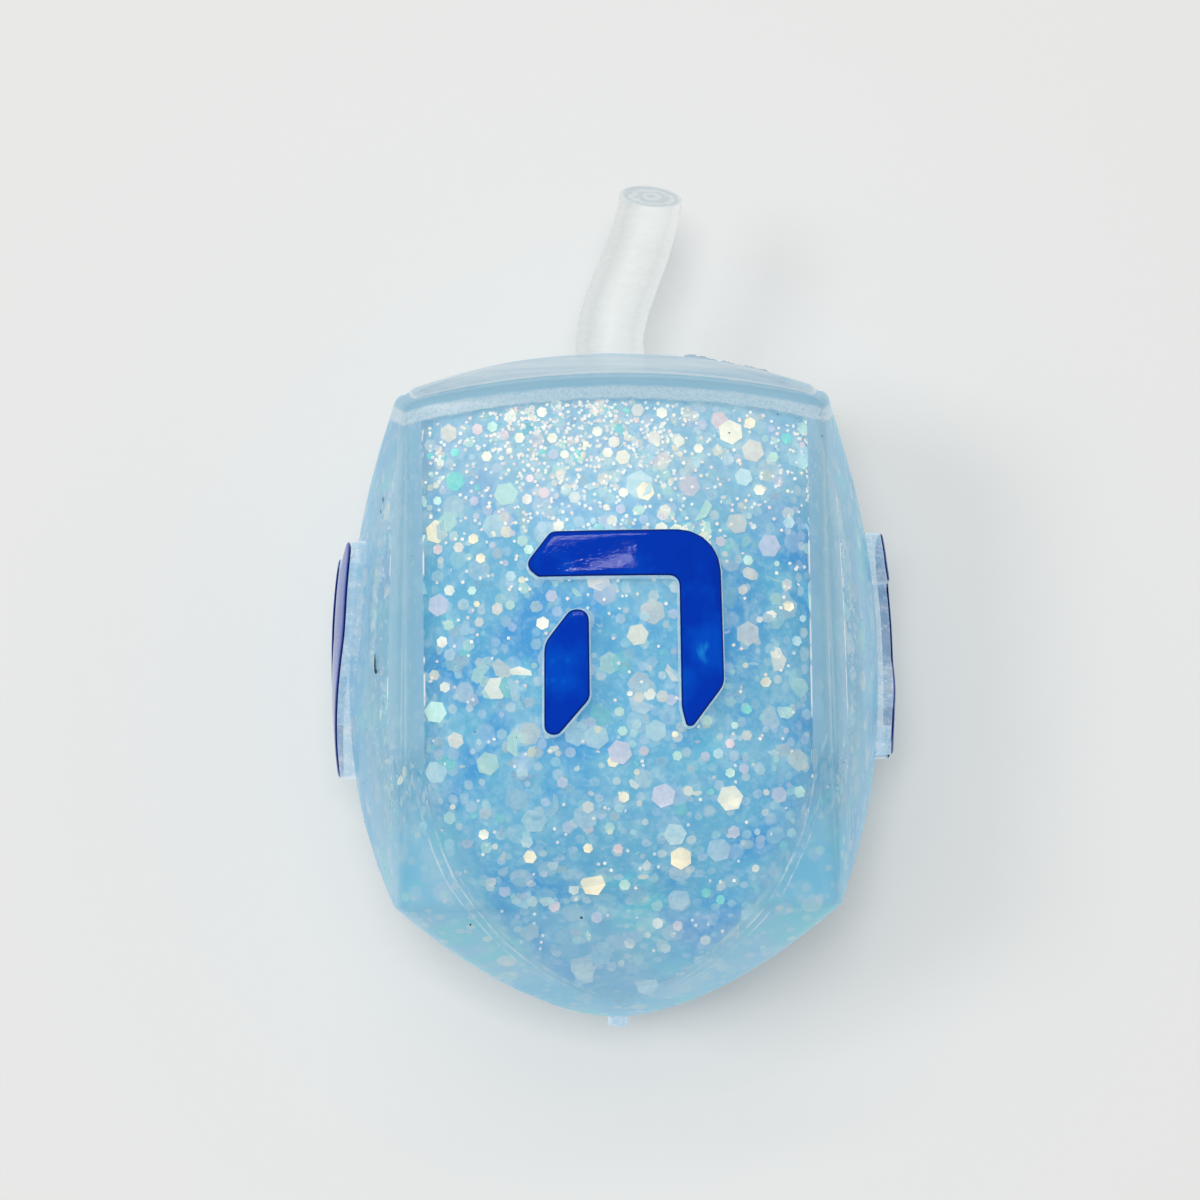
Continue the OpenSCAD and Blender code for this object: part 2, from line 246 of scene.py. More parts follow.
def body_rings(b):
    """Rings of the body from the tip to the top: height, drop to the corners, half width, bulge."""
    rings = []
    for t in np.linspace(0, 1, 27)[:-1]:
        rings.append((b.point_h * t ** (1 / POINT_POWER), 0, b.low_corner * t, CROWN * b.low_corner * t))
    last = 1 - b.edge_round / b.face_h
    for s in np.linspace(0, last, 66):
        rings.append((b.point_h + b.face_h * s, b.edge_arch * s, half_width(b, s), float(bulge(b, s))))
    for angle in (18, 36, 54, 72, 90):
        rise, inward = math.sin(math.radians(angle)), 1 - math.cos(math.radians(angle))
        flat = CROWN * b.high_corner
        rings.append((edge_y(b) - b.edge_round * (1 - rise), b.edge_arch,
                      b.high_corner - b.edge_round * inward,
                      flat + (float(bulge(b, last)) - flat) * (1 - rise)))
    for t in np.linspace(1 - b.edge_round / b.high_corner, 0, 26)[1:]:
        rings.append((top_y(b) - b.dome_h * t * t, b.edge_arch * t * t, b.high_corner * t,
                      CROWN * b.high_corner * t))
    return np.array(rings)


def side_steps():
    """Places across a side from its left corner almost to its right one, close together at the corners."""
    near_corner = [0.885, 0.905, 0.925, 0.94, 0.955, 0.967, 0.978, 0.988, 1]
    half = np.concatenate([np.linspace(0, 0.86, 14), near_corner])
    return np.concatenate([-half[::-1], half[1:-1]])


def ring_points(b, rings, steps):
    """The points of the rings, ring by ring, and each point's share across its side."""
    rows, shares = [], []
    for y, drop, half, out in rings:
        row = []
        for side in range(4):
            pull = b.corner_round * min(1, half / b.low_corner) * np.abs(steps) ** ROUND_POWER
            row.append(on_side(side, steps * (half - pull), y - drop * steps ** 2,
                               half + out * (1 - steps ** 2) - pull))
        rows.append(np.concatenate(row))
        shares.append(np.tile(steps, 4))
    return np.array(rows), np.array(shares)


def face_height(b, along, y):
    """How far the surface of a face lies from the axis, at a place across and along it."""
    share = np.clip(np.abs(along) / half_width(b, 0.5), 0, 1)
    s = np.clip((y - b.point_h) / (b.face_h - b.edge_arch * share ** 2), 0, 1)
    half = half_width(b, s)
    return half + bulge(b, s) * (1 - (np.abs(along) / half) ** 2)


# Making meshes

def settings():
    return bpy.context.scene.dreidel


def nothing_selected():
    if bpy.context.object and bpy.context.object.mode != "OBJECT":
        bpy.ops.object.mode_set(mode="OBJECT")
    bpy.ops.object.select_all(action="DESELECT")


def named(name):
    """The primitive that was just added, under its name."""
    piece = bpy.context.object
    piece.name = piece.data.name = name
    return piece


def points_of(piece):
    found = np.empty(len(piece.data.vertices) * 3)
    piece.data.vertices.foreach_get("co", found)
    return found.reshape(-1, 3)


def move_points(piece, points):
    piece.data.vertices.foreach_set("co", np.asarray(points, float).ravel())
    piece.data.update()


def tidy_mesh(smooth=None):
    """Merges the active piece's seams and poles, turns its faces outwards and shades them smooth, up to an
    angle if one is given."""
    bpy.ops.object.mode_set(mode="EDIT")
    bpy.ops.mesh.select_all(action="SELECT")
    bpy.ops.mesh.remove_doubles(threshold=1e-7)
    bpy.ops.mesh.normals_make_consistent(inside=False)
    bpy.ops.object.mode_set(mode="OBJECT")
    if smooth is None:
        bpy.ops.object.shade_smooth()
    else:
        bpy.ops.object.shade_smooth_by_angle(angle=math.radians(smooth))


def skin_of_rows(name, rows):
    """A surface through rows of points: a grid, wrapped round. It is closed once its doubles are merged."""
    count, around = rows.shape[0], rows.shape[1]
    nothing_selected()
    bpy.ops.mesh.primitive_grid_add(x_subdivisions=around, y_subdivisions=count - 1, size=2)
    piece = named(name)
    flat = points_of(piece)
    column = np.rint((flat[:, 0] + 1) / 2 * around).astype(int) % around
    row = np.rint((flat[:, 1] + 1) / 2 * (count - 1)).astype(int)
    move_points(piece, rows[row, column])
    return piece, row, column


def give(piece, name, values, kind="FLOAT"):
    """Writes an attribute on the points of a piece."""
    data = piece.data.attributes.new(name, kind, "POINT").data
    field = {"FLOAT": "value", "FLOAT_VECTOR": "vector", "FLOAT_COLOR": "color"}[kind]
    data.foreach_set(field, np.asarray(values, np.float32).ravel())


def tube(name, path, radii, sides, flat=1.0):
    """A closed rod of changing radius along a path of points."""
    path = np.asarray(path, float)
    ways = np.gradient(path, axis=0)
    ways /= np.linalg.norm(ways, axis=1)[:, None]
    start = np.array([0, 0, 1.0]) if abs(ways[0][2]) < 0.9 else np.array([1.0, 0, 0])
    rows = []
    for point, way, r in zip(path, ways, radii):
        across = np.cross(way, start)
        across /= np.linalg.norm(across)
        up = np.cross(across, way)
        turns = np.linspace(0, 2 * math.pi, sides, endpoint=False)
        rows.append(point + r * (np.cos(turns)[:, None] * across + flat * np.sin(turns)[:, None] * up))
    rows = [np.tile(path[0], (sides, 1))] + rows + [np.tile(path[-1], (sides, 1))]
    piece, _, _ = skin_of_rows(name, np.array(rows))
    tidy_mesh()
    return piece


def repeated(name, points, faces, each):
    """One mesh of many copies of a small shape, each with its own points."""
    copies = len(points) // each
    made = bpy.data.meshes.new(name)
    moved = [tuple(v + i * each for v in f) for i in range(copies) for f in faces]
    made.from_pydata(points.tolist(), [], moved)
    piece = bpy.data.objects.new(name, made)
    bpy.context.collection.objects.link(piece)
    nothing_selected()
    piece.select_set(True)
    bpy.context.view_layer.objects.active = piece
    return piece


def joined(name, pieces):
    nothing_selected()
    for piece in pieces:
        piece.select_set(True)
    bpy.context.view_layer.objects.active = pieces[0]
    if len(pieces) > 1:
        bpy.ops.object.join()
    return named(name)


# Finishes

class Wire:
    """A value in a finish, so that the maths of a shader reads as plain sums."""

    def __init__(self, finish, socket):
        self.finish = finish
        self.socket = socket

    def maths(self, operation, *values):
        return self.finish.node("ShaderNodeMath", {"operation": operation}, dict(enumerate(values)))

    def __add__(self, other):
        return self.maths("ADD", self, other)

    def __sub__(self, other):
        return self.maths("SUBTRACT", self, other)

    def __mul__(self, other):
        return self.maths("MULTIPLY", self, other)

    def __pow__(self, other):
        return self.maths("POWER", self, other)

    def __rsub__(self, other):
        return self.maths("SUBTRACT", other, self)

    __radd__ = __add__
    __rmul__ = __mul__

    def wave(self):
        return self.maths("SINE", self)

    def rise(self, low, high):
        """0 below low, 1 above high, and smooth between. It falls where low is the larger of the two."""
        return self.finish.node("ShaderNodeMapRange", {"interpolation_type": "SMOOTHSTEP"},
                                {0: self, 1: low, 2: high, 3: 0.0, 4: 1.0})

    def at_least(self, other):
        return self.maths("MAXIMUM", self, other)

    def at_most(self, other):
        return self.maths("MINIMUM", self, other)

    def size(self):
        return self.maths("ABSOLUTE", self)


class Finish:
    """One material, or the world round the piece, built from nodes."""

    def __init__(self, name=None, world=None):
        self.owner = world or bpy.data.materials.new(name)
        self.owner.use_nodes = True
        self.tree = self.owner.node_tree
        self.tree.nodes.clear()
        self.made = None

    def node(self, kind, given=None, inputs=None, output=0):
        """Adds a node with its settings and what goes into its sockets, and returns its output."""
        made = self.tree.nodes.new(kind)
        for key, value in (given or {}).items():
            setattr(made, key, value)
        for key, value in (inputs or {}).items():
            if isinstance(value, Wire):
                self.tree.links.new(value.socket, made.inputs[key])
            else:
                made.inputs[key].default_value = value
        self.made = made
        return Wire(self, made.outputs[output]) if len(made.outputs) else None

    def coordinates(self, scale=(1, 1, 1)):
        place = self.node("ShaderNodeTexCoord", output="Object")
        if tuple(scale) == (1, 1, 1):
            return place
        return self.node("ShaderNodeVectorMath", {"operation": "MULTIPLY"}, {0: place, 1: tuple(scale)})

    def noise(self, scale, detail, roughness=0.5, stretch=(1, 1, 1), distortion=0.0):
        return self.node("ShaderNodeTexNoise", None, {
            "Vector": self.coordinates(stretch), "Scale": scale, "Detail": detail,
            "Roughness": roughness, "Distortion": distortion})

    def attribute(self, name, output="Fac"):
        return self.node("ShaderNodeAttribute", {"attribute_name": name}, output=output)

    def facing(self, blend):
        """0 where a surface is seen straight on, up to 1 where it is seen from aside."""
        return self.node("ShaderNodeLayerWeight", None, {"Blend": blend}, "Facing")

    def parts(self, vector):
        self.node("ShaderNodeSeparateXYZ", None, {0: vector})
        return [Wire(self, s) for s in self.made.outputs]

    def mix(self, factor, first, second):
        """A colour between two."""
        return self.node("ShaderNodeMix", {"data_type": "RGBA"}, {0: factor, 6: first, 7: second}, 2)

    def layered(self, colour, layers):
        """A colour with others laid over it in turn, each where its mask is above 0."""
        for mask, over in layers:
            colour = self.mix(mask, colour, over)
        return colour

    def dimmed(self, share, colour):
        """A colour with a share of its light taken away, where the finish's own painted glow gives it back.
        """
        return self.mix(share, colour, tone(0, 0, 0))

    def bump(self, height, distance, strength):
        return self.node("ShaderNodeBump", None, {
            "Height": height, "Distance": distance, "Strength": strength})

    def surface(self, **values):
        return self.node("ShaderNodeBsdfPrincipled", None, {
            key.replace("_", " "): value for key, value in values.items()})

    def blend(self, factor, first, second):
        return self.node("ShaderNodeMixShader", None, {0: factor, 1: first, 2: second})

    def clear(self):
        return self.node("ShaderNodeBsdfTransparent")

    def backdrop(self, colour, strength):
        return self.node("ShaderNodeBackground", None, {0: colour, 1: strength})

    def ray(self, kind):
        """1 for the named kind of light ray, and 0 for the others."""
        return self.node("ShaderNodeLightPath", output=kind)

    def done(self, shader):
        self.node("ShaderNodeOutputMaterial", None, {0: shader})
        return self.owner


def finish_with(piece, material, stands_for=()):
    """Gives a piece of the body its material, ties it to the shell, and hides the model's parts that it
    stands for.
    """
    piece.data.materials.clear()
    piece.data.materials.append(material)
    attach(piece, "shell")
    if stands_for:
        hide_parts(*stands_for)


# How strongly the large pieces glow with painted emission, for the light that shines through them. Above
# this, the renderer takes such a mesh for a lamp, and the real lamps lose their share.
PAINTED_GLOW_STRENGTH = 0.5


def sheen(finish, normal, roughness, ior, most, under):
    """The soft gloss of rubber over another shader, with a limit so that steep sides stay clear."""
    gloss = finish.node("ShaderNodeBsdfAnisotropic", None, {
        "Color": (1, 1, 1, 1), "Roughness": roughness, "Normal": normal})
    fresnel = finish.node("ShaderNodeFresnel", None, {"IOR": ior, "Normal": normal})
    return finish.blend(fresnel.at_most(most), under, gloss)


def rubber_finish():
    """The milky skin: nearly clear over the liquid, and dense in its corners, its rim and its point, with a
    painted glow.
    """
    c = settings().colours
    f = Finish("soft_rubber")
    # Millimetres: out from the cavity's edge, down from the upper edge, and up from the tip
    rim, below, height = f.parts(f.attribute("place", "Vector"))
    cloud = f.noise(90, 4, 0.6)
    fine = f.noise(700, 3, 0.6)
    grain = f.noise(300, 3, 0.6, stretch=(1, 0.05, 1))
    lines = f.noise(900, 4, 0.75, stretch=(0.03, 1, 0.03))
    streaks = f.noise(260, 5, 0.7, stretch=(0.05, 1, 0.05), distortion=0.3)
    away = f.facing(0.35)

    # How dense the skin is: over the cavity, in the corners, in the rim, on the dome and on steep sides
    upper = height.rise(25, 31)
    bar = rim.rise(-0.1, 0.1) * upper
    low = rim.rise(-6.0, 2.5) * (1 - height.rise(18, 31)) * 0.9
    frame = 1 - (below + (fine - 0.5) * 0.5).rise(2.6, 3.0)
    on_top = below.rise(-0.2, -0.6)
    steep = (away ** 1.15 * 1.15).at_most(0.93)
    alpha = (0.08 + cloud * 0.09).at_least(bar * (0.82 + fine * 0.1)).at_least(low)
    alpha = alpha.at_least(frame * (1 - on_top * 0.3) * (0.86 + fine * 0.12)).at_least(steep)

    # Its colour
    tint = f.mix(cloud.rise(0.35, 0.65) * 0.5, c.rubber, c.rubber_deep)
    tint = f.layered(tint, (
        (away.rise(0.2, 0.75) * 0.75, tone(124, 190, 226)),
        (cloud.rise(0.42, 0.7) * away.rise(0.3, 0.6) * 0.7, tone(98, 172, 214)),
        (low, f.mix(cloud.rise(0.38, 0.66), tone(146, 198, 224), tone(116, 190, 222)))))
    inner = low.at_least(away.rise(0.25, 0.6))
    blob = f.noise(120, 3, 0.5, stretch=(1, 1.5, 1), distortion=0.3).rise(0.52, 0.64)
    tint = f.mix(blob * inner * 0.6, tint, tone(122, 208, 216))
    tint = f.mix(inner * 0.6, tint, ghost_flakes(f, 330.0, 0.42, tint, 0.55))
    tint = f.mix(inner * 0.6, tint, ghost_flakes(f, 700.0, 0.4, tint, 0.6))
    tint = f.layered(tint, (
        (bar * (1 - rim.rise(0.8, 1.1)) * 0.6, tone(147, 192, 221)),
        (bar * grain.rise(0.45, 0.7) * 0.35, tone(172, 206, 220)),
        (rim.rise(2.2, 2.35) * (1 - rim.rise(2.45, 2.6)) * upper * 0.35, tone(196, 218, 230))))
    pale = frame * (below + (grain - 0.5) * 0.4).rise(1.15, 1.6)
    dust = f.noise(3600, 2, 0.7)
    tint = f.layered(tint, (
        (frame * 0.5, tone(146, 188, 210)),
        (pale * (0.5 + lines * 0.6), tone(192, 216, 229)),
        (pale * streaks.rise(0.5, 0.72) * 0.6, tone(222, 234, 240)),
        (pale * lines.rise(0.56, 0.62) * 0.2, tone(140, 184, 208)),
        (pale * dust.rise(0.5, 0.62) * 0.2, tone(226, 236, 240)),
        (pale * dust.rise(0.48, 0.38) * 0.35, tone(132, 180, 208)),
        (on_top * (0.3 + streaks.rise(0.35, 0.65) * 0.7), tone(202, 218, 226)),
        (on_top * lines.rise(0.52, 0.6) * 0.45, tone(158, 192, 212))))
    # Painted highlight: a thin pale line along the rounded upper edge
    line = (below + 0.35).size().rise(0.2, 0.08)
    tint = f.mix(line * 0.6, tint, tone(220, 232, 238))
    # Painted glints: broken white lines along the cavity's corners, above its shoulder
    broken = f.noise(330, 2, 0.5, stretch=(0.02, 1, 0.02)).rise(0.46, 0.6)
    glint = (rim + 0.05).size().rise(0.14, 0.06) * height.rise(28, 31) * (1 - height.rise(56, 61)) * broken
    tint = f.mix(glint, tint, tone(240, 247, 250))
    alpha = alpha.at_least(glint * 0.85)

    # The parting lines over the cavity's lower corners
    bent = (cloud - 0.5) * 0.9
    torn = f.noise(260, 5, 0.75).rise(0.38, 0.62)
    first_line = (rim - 0.2 + bent).size().rise(0.2, 0.05)
    second_line = (rim - 1.2 + bent * 1.4).size().rise(0.14, 0.04)
    parting = first_line.at_least(second_line) * (1 - height.rise(24, 29)) * height.rise(2, 6) * torn
    tint = f.mix(parting * 0.7, tint, tone(216, 234, 242))
    alpha = alpha.at_least(parting * 0.6)

    # Painted glow for the light that comes through the thick, steep and lower parts, full near the tip
    glow = away.rise(0.08, 0.5).at_least(1 - height.rise(2, 32))
    glow = glow.at_least(on_top * 0.6).at_least(bar * 0.35)
    normal = f.bump(f.noise(150, 3, 0.55) * 0.6 + fine * 0.4, 0.00018, 0.35)
    milk = f.surface(Base_Color=f.dimmed(glow * 0.5, tint), Roughness=0.4,
                     Specular_IOR_Level=0.2, Normal=normal,
                     Emission_Color=f.mix(glow, tone(0, 0, 0), tint), Emission_Strength=PAINTED_GLOW_STRENGTH)
    return f.done(sheen(f, normal, 0.2, 1.45, 0.1, f.blend(alpha, f.clear(), milk)))


def pad_finish():
    """The clear rubber of the raised letters, whiter where seen from aside as a painted sheen, with a
    painted glow.
    """
    f = Finish("clear_pad")
    fine = f.noise(600, 3, 0.6)
    grain = f.noise(1600, 2, 0.6)
    away = f.facing(0.4)
    tint = f.mix(fine.rise(0.35, 0.7), tone(162, 208, 236), tone(210, 229, 240))
    tint = f.mix(grain.rise(0.54, 0.64) * 0.35, tint, tone(238, 244, 248))
    # Painted sheen: whiter where the pad is seen from aside
    tint = f.mix(away.rise(0.5, 0.9) * (0.35 + fine.rise(0.4, 0.6) * 0.35), tint, tone(234, 240, 243))
    alpha = 0.26 + away * 0.42 + fine * 0.1 + grain.rise(0.5, 0.62) * 0.08
    normal = f.bump(grain * 0.3 + fine * 0.7, 0.00006, 0.5)
    # Painted glow: the pad's own emission keeps its walls pale
    milk = f.surface(Base_Color=f.dimmed(0.3, tint), Roughness=0.35, Normal=normal,
                     Emission_Color=tint, Emission_Strength=PAINTED_GLOW_STRENGTH)
    return f.done(sheen(f, normal, 0.14, 1.45, 0.2, f.blend(alpha, f.clear(), milk)))


def paint_finish():
    """Glossy royal blue paint, darker along its edge and thinner in patches, with a painted sheen where it
    is seen from aside.
    """
    c = settings().colours
    f = Finish("blue_paint")
    edge = f.attribute("edge")
    patch = f.noise(160, 3, 0.55)
    brush = f.noise(420, 4, 0.6, stretch=(1, 0.3, 1))
    away = f.facing(0.5)
    tint = f.mix(patch.rise(0.46, 0.68) * 0.8, c.paint, tone(0, 80, 202))
    tint = f.layered(tint, (
        (patch.rise(0.64, 0.74) * brush.rise(0.5, 0.6) * 0.7, tone(30, 150, 232)),
        (brush.rise(0.58, 0.72) * 0.4, tone(0, 46, 158)),
        # Painted sheen: the paint paler blue where it is seen from aside, on its face and along its edge
        (away ** 3.0 * 0.95, tone(62, 110, 208)),
        (1 - edge.rise(0.06, 0.24), f.mix(away ** 2.0, c.paint_edge, tone(20, 70, 190)))))
    normal = f.bump(f.noise(520, 5, 0.7, stretch=(0.5, 1, 1)) * 0.8 + brush * 0.2, 0.00004, 0.8)
    return f.done(f.surface(Base_Color=tint, Roughness=0.03, Specular_IOR_Level=0.5, Normal=normal))


def ghost_flakes(finish, scale, wide, tint, amount):
    """Flakes too deep to see clearly, as soft round spots of different pale colours over a colour."""
    given = {"Vector": finish.coordinates(), "Scale": scale}
    spot = finish.node("ShaderNodeTexVoronoi", {"feature": "F1"}, given)
    pick = finish.parts(finish.node("ShaderNodeTexVoronoi", {"feature": "F1"}, given, "Color"))
    film = finish.mix(pick[1].rise(0.3, 0.35), tone(196, 226, 214), tone(206, 210, 222))
    film = finish.mix(pick[1].rise(0.65, 0.7), film, tone(236, 230, 212))
    return finish.mix(spot.rise(wide, wide * 0.8) * pick[0] * amount, tint, film)


def liquid_finish():
    """The liquid's depth: blue with deeper and turquoise patches, flakes too deep to make out, and a
    painted glow.
    """
    c = settings().colours
    f = Finish("blue_liquid")
    deep = f.noise(105, 4, 0.6, distortion=0.6)
    green = f.noise(70, 3, 0.55, distortion=0.4)
    spot = f.noise(420, 4, 0.65)
    veil = f.noise(150, 5, 0.7)
    mottle = f.noise(1100, 3, 0.7)
    # Millimetres up from the tip
    height = (f.parts(f.coordinates())[1] + settings().body.middle_y) * (1 / MM)
    tint = f.mix(deep.rise(0.46, 0.68), c.liquid, c.liquid_deep)
    tint = f.layered(tint, (
        (green.rise(0.5, 0.68) * (0.95 - height.rise(18, 40) * 0.6), c.liquid_green),
        (veil.rise(0.48, 0.7) * 0.5, tone(162, 200, 210)),
        (spot.rise(0.52, 0.72) * 0.4, tone(190, 214, 220)),
        (height.rise(48, 62) * (0.1 + deep * 0.6), tone(206, 213, 215))))
    tint = ghost_flakes(f, 300.0, 0.42, tint, 0.4)
    tint = ghost_flakes(f, 640.0, 0.4, tint, 0.55)
    tint = f.mix(mottle.rise(0.5, 0.66) * 0.2, tint, tone(200, 222, 228))
    tint = f.mix(mottle.rise(0.48, 0.36) * 0.2, tint, tone(62, 146, 196))
    # Painted glow: emission of the liquid's colour, weaker except on the roof, where it makes up for the
    # shade there
    glow = f.mix(f.attribute("top"), f.dimmed(0.4, tint), tint)
    return f.done(f.surface(Base_Color=tint, Roughness=0.55, Specular_IOR_Level=0.2,
                            Emission_Color=glow, Emission_Strength=PAINTED_GLOW_STRENGTH))


def liquid_surface_finish():
    """The liquid where it meets the skin: clear from straight ahead, blue from aside, with a painted glow.
    """
    c = settings().colours
    f = Finish("liquid_surface")
    cloud = f.noise(120, 4, 0.6)
    tint = f.mix(cloud, c.liquid, c.rubber)
    alpha = 0.04 + cloud * 0.08 + f.facing(0.35) ** 2.0 * 0.5
    return f.done(f.blend(alpha, f.clear(), f.surface(
        Base_Color=f.dimmed(0.5, tint), Roughness=0.6, Specular_IOR_Level=0.0,
        Emission_Color=tint, Emission_Strength=PAINTED_GLOW_STRENGTH)))


def glitter_finish():
    """Iridescent film: each flake has its own colour, clearness and painted glow, with patches of painted
    sheen.
    """
    f = Finish("iridescent_glitter")
    tint = f.attribute("tint", "Color")
    glow = f.attribute("glow", "Color")
    # Random patches that make the film paler, a painted sheen, and change its clearness
    patchy_sheen = f.noise(1300, 3, 0.65)
    tint = f.mix(patchy_sheen.rise(0.42, 0.62) * 0.15, tint, tone(250, 246, 236))
    film = f.surface(Base_Color=tint, Roughness=0.38, Specular_IOR_Level=0.4,
                     Emission_Color=glow, Emission_Strength=1.0)
    return f.done(f.blend(f.attribute("seen") * (0.8 + patchy_sheen * 0.35), f.clear(), film))


def stem_finish():
    """Clear, slightly cloudy rubber, with rings on its cut end, painted shade on its left side and a
    painted glow.
    """
    c = settings().colours
    f = Finish("clear_rubber")
    cloud = f.noise(240, 4, 0.6, stretch=(1, 0.4, 1))
    grain = f.noise(900, 4, 0.7, stretch=(0.35, 1, 0.35))
    away = f.facing(0.4)
    end, ring, left = f.attribute("end"), f.attribute("ring"), f.attribute("left")
    tint = f.mix(cloud.rise(0.35, 0.7) * 0.35, c.stem, tone(240, 241, 239))
    tint = f.layered(tint, (
        (grain.rise(0.52, 0.66) * (0.05 + left * 0.12), tone(248, 250, 248)),
        (grain.rise(0.46, 0.36) * (0.04 + left * 0.12), tone(206, 216, 217)),
        (away.rise(0.55, 0.9) * 0.8, tone(190, 200, 200)),
        # Painted shade: the stem's left side darker
        (left.rise(0.0, 0.8) * 0.75, tone(200, 205, 204))))
    rings = ((ring * 16 + cloud * 22).wave() * 0.5 + 0.5).rise(0.1, 0.95)
    cut = f.mix(rings, tone(180, 196, 202), tone(204, 211, 213))
    cut = f.mix(ring.rise(0.9, 0.97) * 0.5, cut, tone(214, 222, 224))
    tint = f.mix(end, tint, cut)
    alpha = (0.42 + away.rise(0.3, 0.95) * 0.25 + grain.rise(0.45, 0.62) * 0.03).at_least(end * 0.9)
    normal = f.bump(cloud * 0.8 + grain * 0.2, 0.00005, 0.5)
    # Painted glow: emission of the stem's own colour, with its base colour dimmed
    milk = f.surface(Base_Color=f.dimmed(0.24, tint), Roughness=0.35, Specular_IOR_Level=0.2,
                     Normal=normal, Emission_Color=tint, Emission_Strength=0.45)
    return f.done(sheen(f, normal, 0.22, 1.4, 0.1, f.blend(alpha, f.clear(), milk)))


def speck_finish():
    """Dark crumbs that stick to the skin."""
    f = Finish("dark_speck")
    tint = f.mix(f.noise(2000, 2).rise(0.4, 0.6), tone(22, 26, 30), tone(70, 74, 70))
    return f.done(f.surface(Base_Color=tint, Roughness=0.6))


def ridge_finish():
    """The pale lines of moulded edges and torn flash."""
    f = Finish("pale_ridge")
    broken = f.noise(500, 3, 0.6)
    tint = f.mix(broken.rise(0.4, 0.62), tone(126, 180, 210), tone(216, 232, 240))
    alpha = 0.35 + broken.rise(0.4, 0.65) * 0.5
    milk = f.surface(Base_Color=tint, Roughness=0.3)
    return f.done(f.blend(alpha, f.clear(), milk))


# The pieces

class DREIDEL_OT_skin(bpy.types.Operator):
    """Adds the hollow skin of the body"""
    bl_idname = "dreidel.skin"
    bl_label = "Skin"

    def execute(self, context):
        b = settings().body
        steps = side_steps()
        rings = body_rings(b)
        rows, shares = ring_points(b, rings, steps)
        skin, row, column = skin_of_rows("skin_wall", laid_down(b, rows))
        points = rows[row, column]
        share = np.abs(shares[row, column])
        along = share * rings[row, 2]
        y = points[:, 1]
        rim = (along - cavity_half(b, y)) / MM
        below = (edge_y(b) - b.edge_arch * share ** 2 - y) / MM
        give(skin, "place", np.stack([rim, below, y / MM], -1), "FLOAT_VECTOR")
        tidy_mesh()
        finish_with(skin, rubber_finish(), stands_for=["skin"])
        return {"FINISHED"}


# How many rings the cavity's roof has
TOP_RINGS = 11
# How far the liquid's depth lies inside the cavity at its corners, and how much flatter its faces are
DEPTH_GAP = 0.35 * MM
DEPTH_FLATTER = 0.55 * MM


def cavity_rings(b, gap, flatter):
    """Rings inside the cavity, a gap away from its wall, and flatter at the middle of its faces."""
    high, edge = top_y(b) - b.top_wall - gap, edge_y(b) - b.edge_wall - gap * 0.2
    corner = cavity_corner(b)
    arch = b.edge_arch * (corner / b.high_corner) ** 2
    rings = [(b.tip_wall + gap, 0, 0, 0)]
    heights = [b.tip_wall + (b.shoulder_h - b.tip_wall) * t for t in np.linspace(0, 1, 40)[1:] ** 1.5]
    for y in heights:
        half = max(float(cavity_half(b, y)) - gap, 0.1 * MM)
        rings.append((y + gap * (1 - y / b.shoulder_h), 0, half,
                      max(float(cavity_bulge(b, y)) - flatter, 0)))
    for t in np.linspace(0, 1, 40)[1:]:
        y = b.shoulder_h + (edge - b.shoulder_h) * t
        rings.append((y, arch * t, corner - gap, max(float(cavity_bulge(b, y)) - flatter, 0)))
    for t in np.linspace(1, 0, TOP_RINGS + 1)[1:]:
        rings.append((high - (high - edge) * t * t, arch * t * t, (corner - gap) * t, CROWN * corner * t))
    return rings


def core_out(b, y, share):
    """How far the liquid's depth lies from the axis."""
    bulge_left = np.maximum(cavity_bulge(b, y) - DEPTH_FLATTER, 0)
    return cavity_half(b, y) - DEPTH_GAP + bulge_left * (1 - share ** 2)


class DREIDEL_OT_liquid(bpy.types.Operator):
    """Adds the liquid: its depth behind the flakes, and its surface in front of them"""
    bl_idname = "dreidel.liquid"
    bl_label = "Liquid"

    def execute(self, context):
        self.body_of("liquid_depth", DEPTH_GAP, DEPTH_FLATTER, liquid_finish())
        self.body_of("liquid_surface", 0.05 * MM, 0.0, liquid_surface_finish())
        return {"FINISHED"}

    def body_of(self, name, gap, flatter, finish):
        b = settings().body
        rings = cavity_rings(b, gap, flatter)
        rows, _ = ring_points(b, rings, side_steps()[::2])
        piece, row, _ = skin_of_rows(name, laid_down(b, rows))
        # The roof rings, where the liquid's painted glow is strongest
        give(piece, "top", np.clip((row - len(rings) + TOP_RINGS + 2) / 2, 0, 1))
        tidy_mesh(50)
        finish_with(piece, finish, stands_for=["liquid_fill"])


FILM = {
    "cream": (255, 247, 224), "gold": (255, 240, 204), "beige": (240, 232, 218), "mint": (206, 238, 222),
    "aqua": (140, 230, 216), "ice": (204, 230, 232), "lilac": (214, 214, 228), "pink": (244, 220, 220),
    "haze": (188, 216, 228), "white": (255, 247, 238), "blush": (255, 232, 220),
}
BRIGHT = ("cream", "gold", "white", "blush")
# How often each film comes up: in the large flakes, in the medium and small ones, and in the finest
PLAIN_MIX = {"cream": 1.5, "beige": 3.5, "mint": 3, "aqua": 0.8, "ice": 3, "lilac": 3, "haze": 4,
             "pink": 0.6}
LIVELY_MIX = {"cream": 4, "gold": 1.5, "beige": 3.5, "mint": 2.5, "aqua": 1.2, "ice": 3, "lilac": 3,
              "haze": 2.5, "pink": 1}
DOT_MIX = {"white": 5, "blush": 5, "cream": 3}
# How much wider a square is from corner to corner than a hexagon of the same area is from side to side
AS_LARGE = 1.3
# How far flakes stay from the skin and from the liquid's depth
FLAKE_TO_SKIN = 0.12 * MM
FLAKE_TO_DEPTH = 0.04 * MM
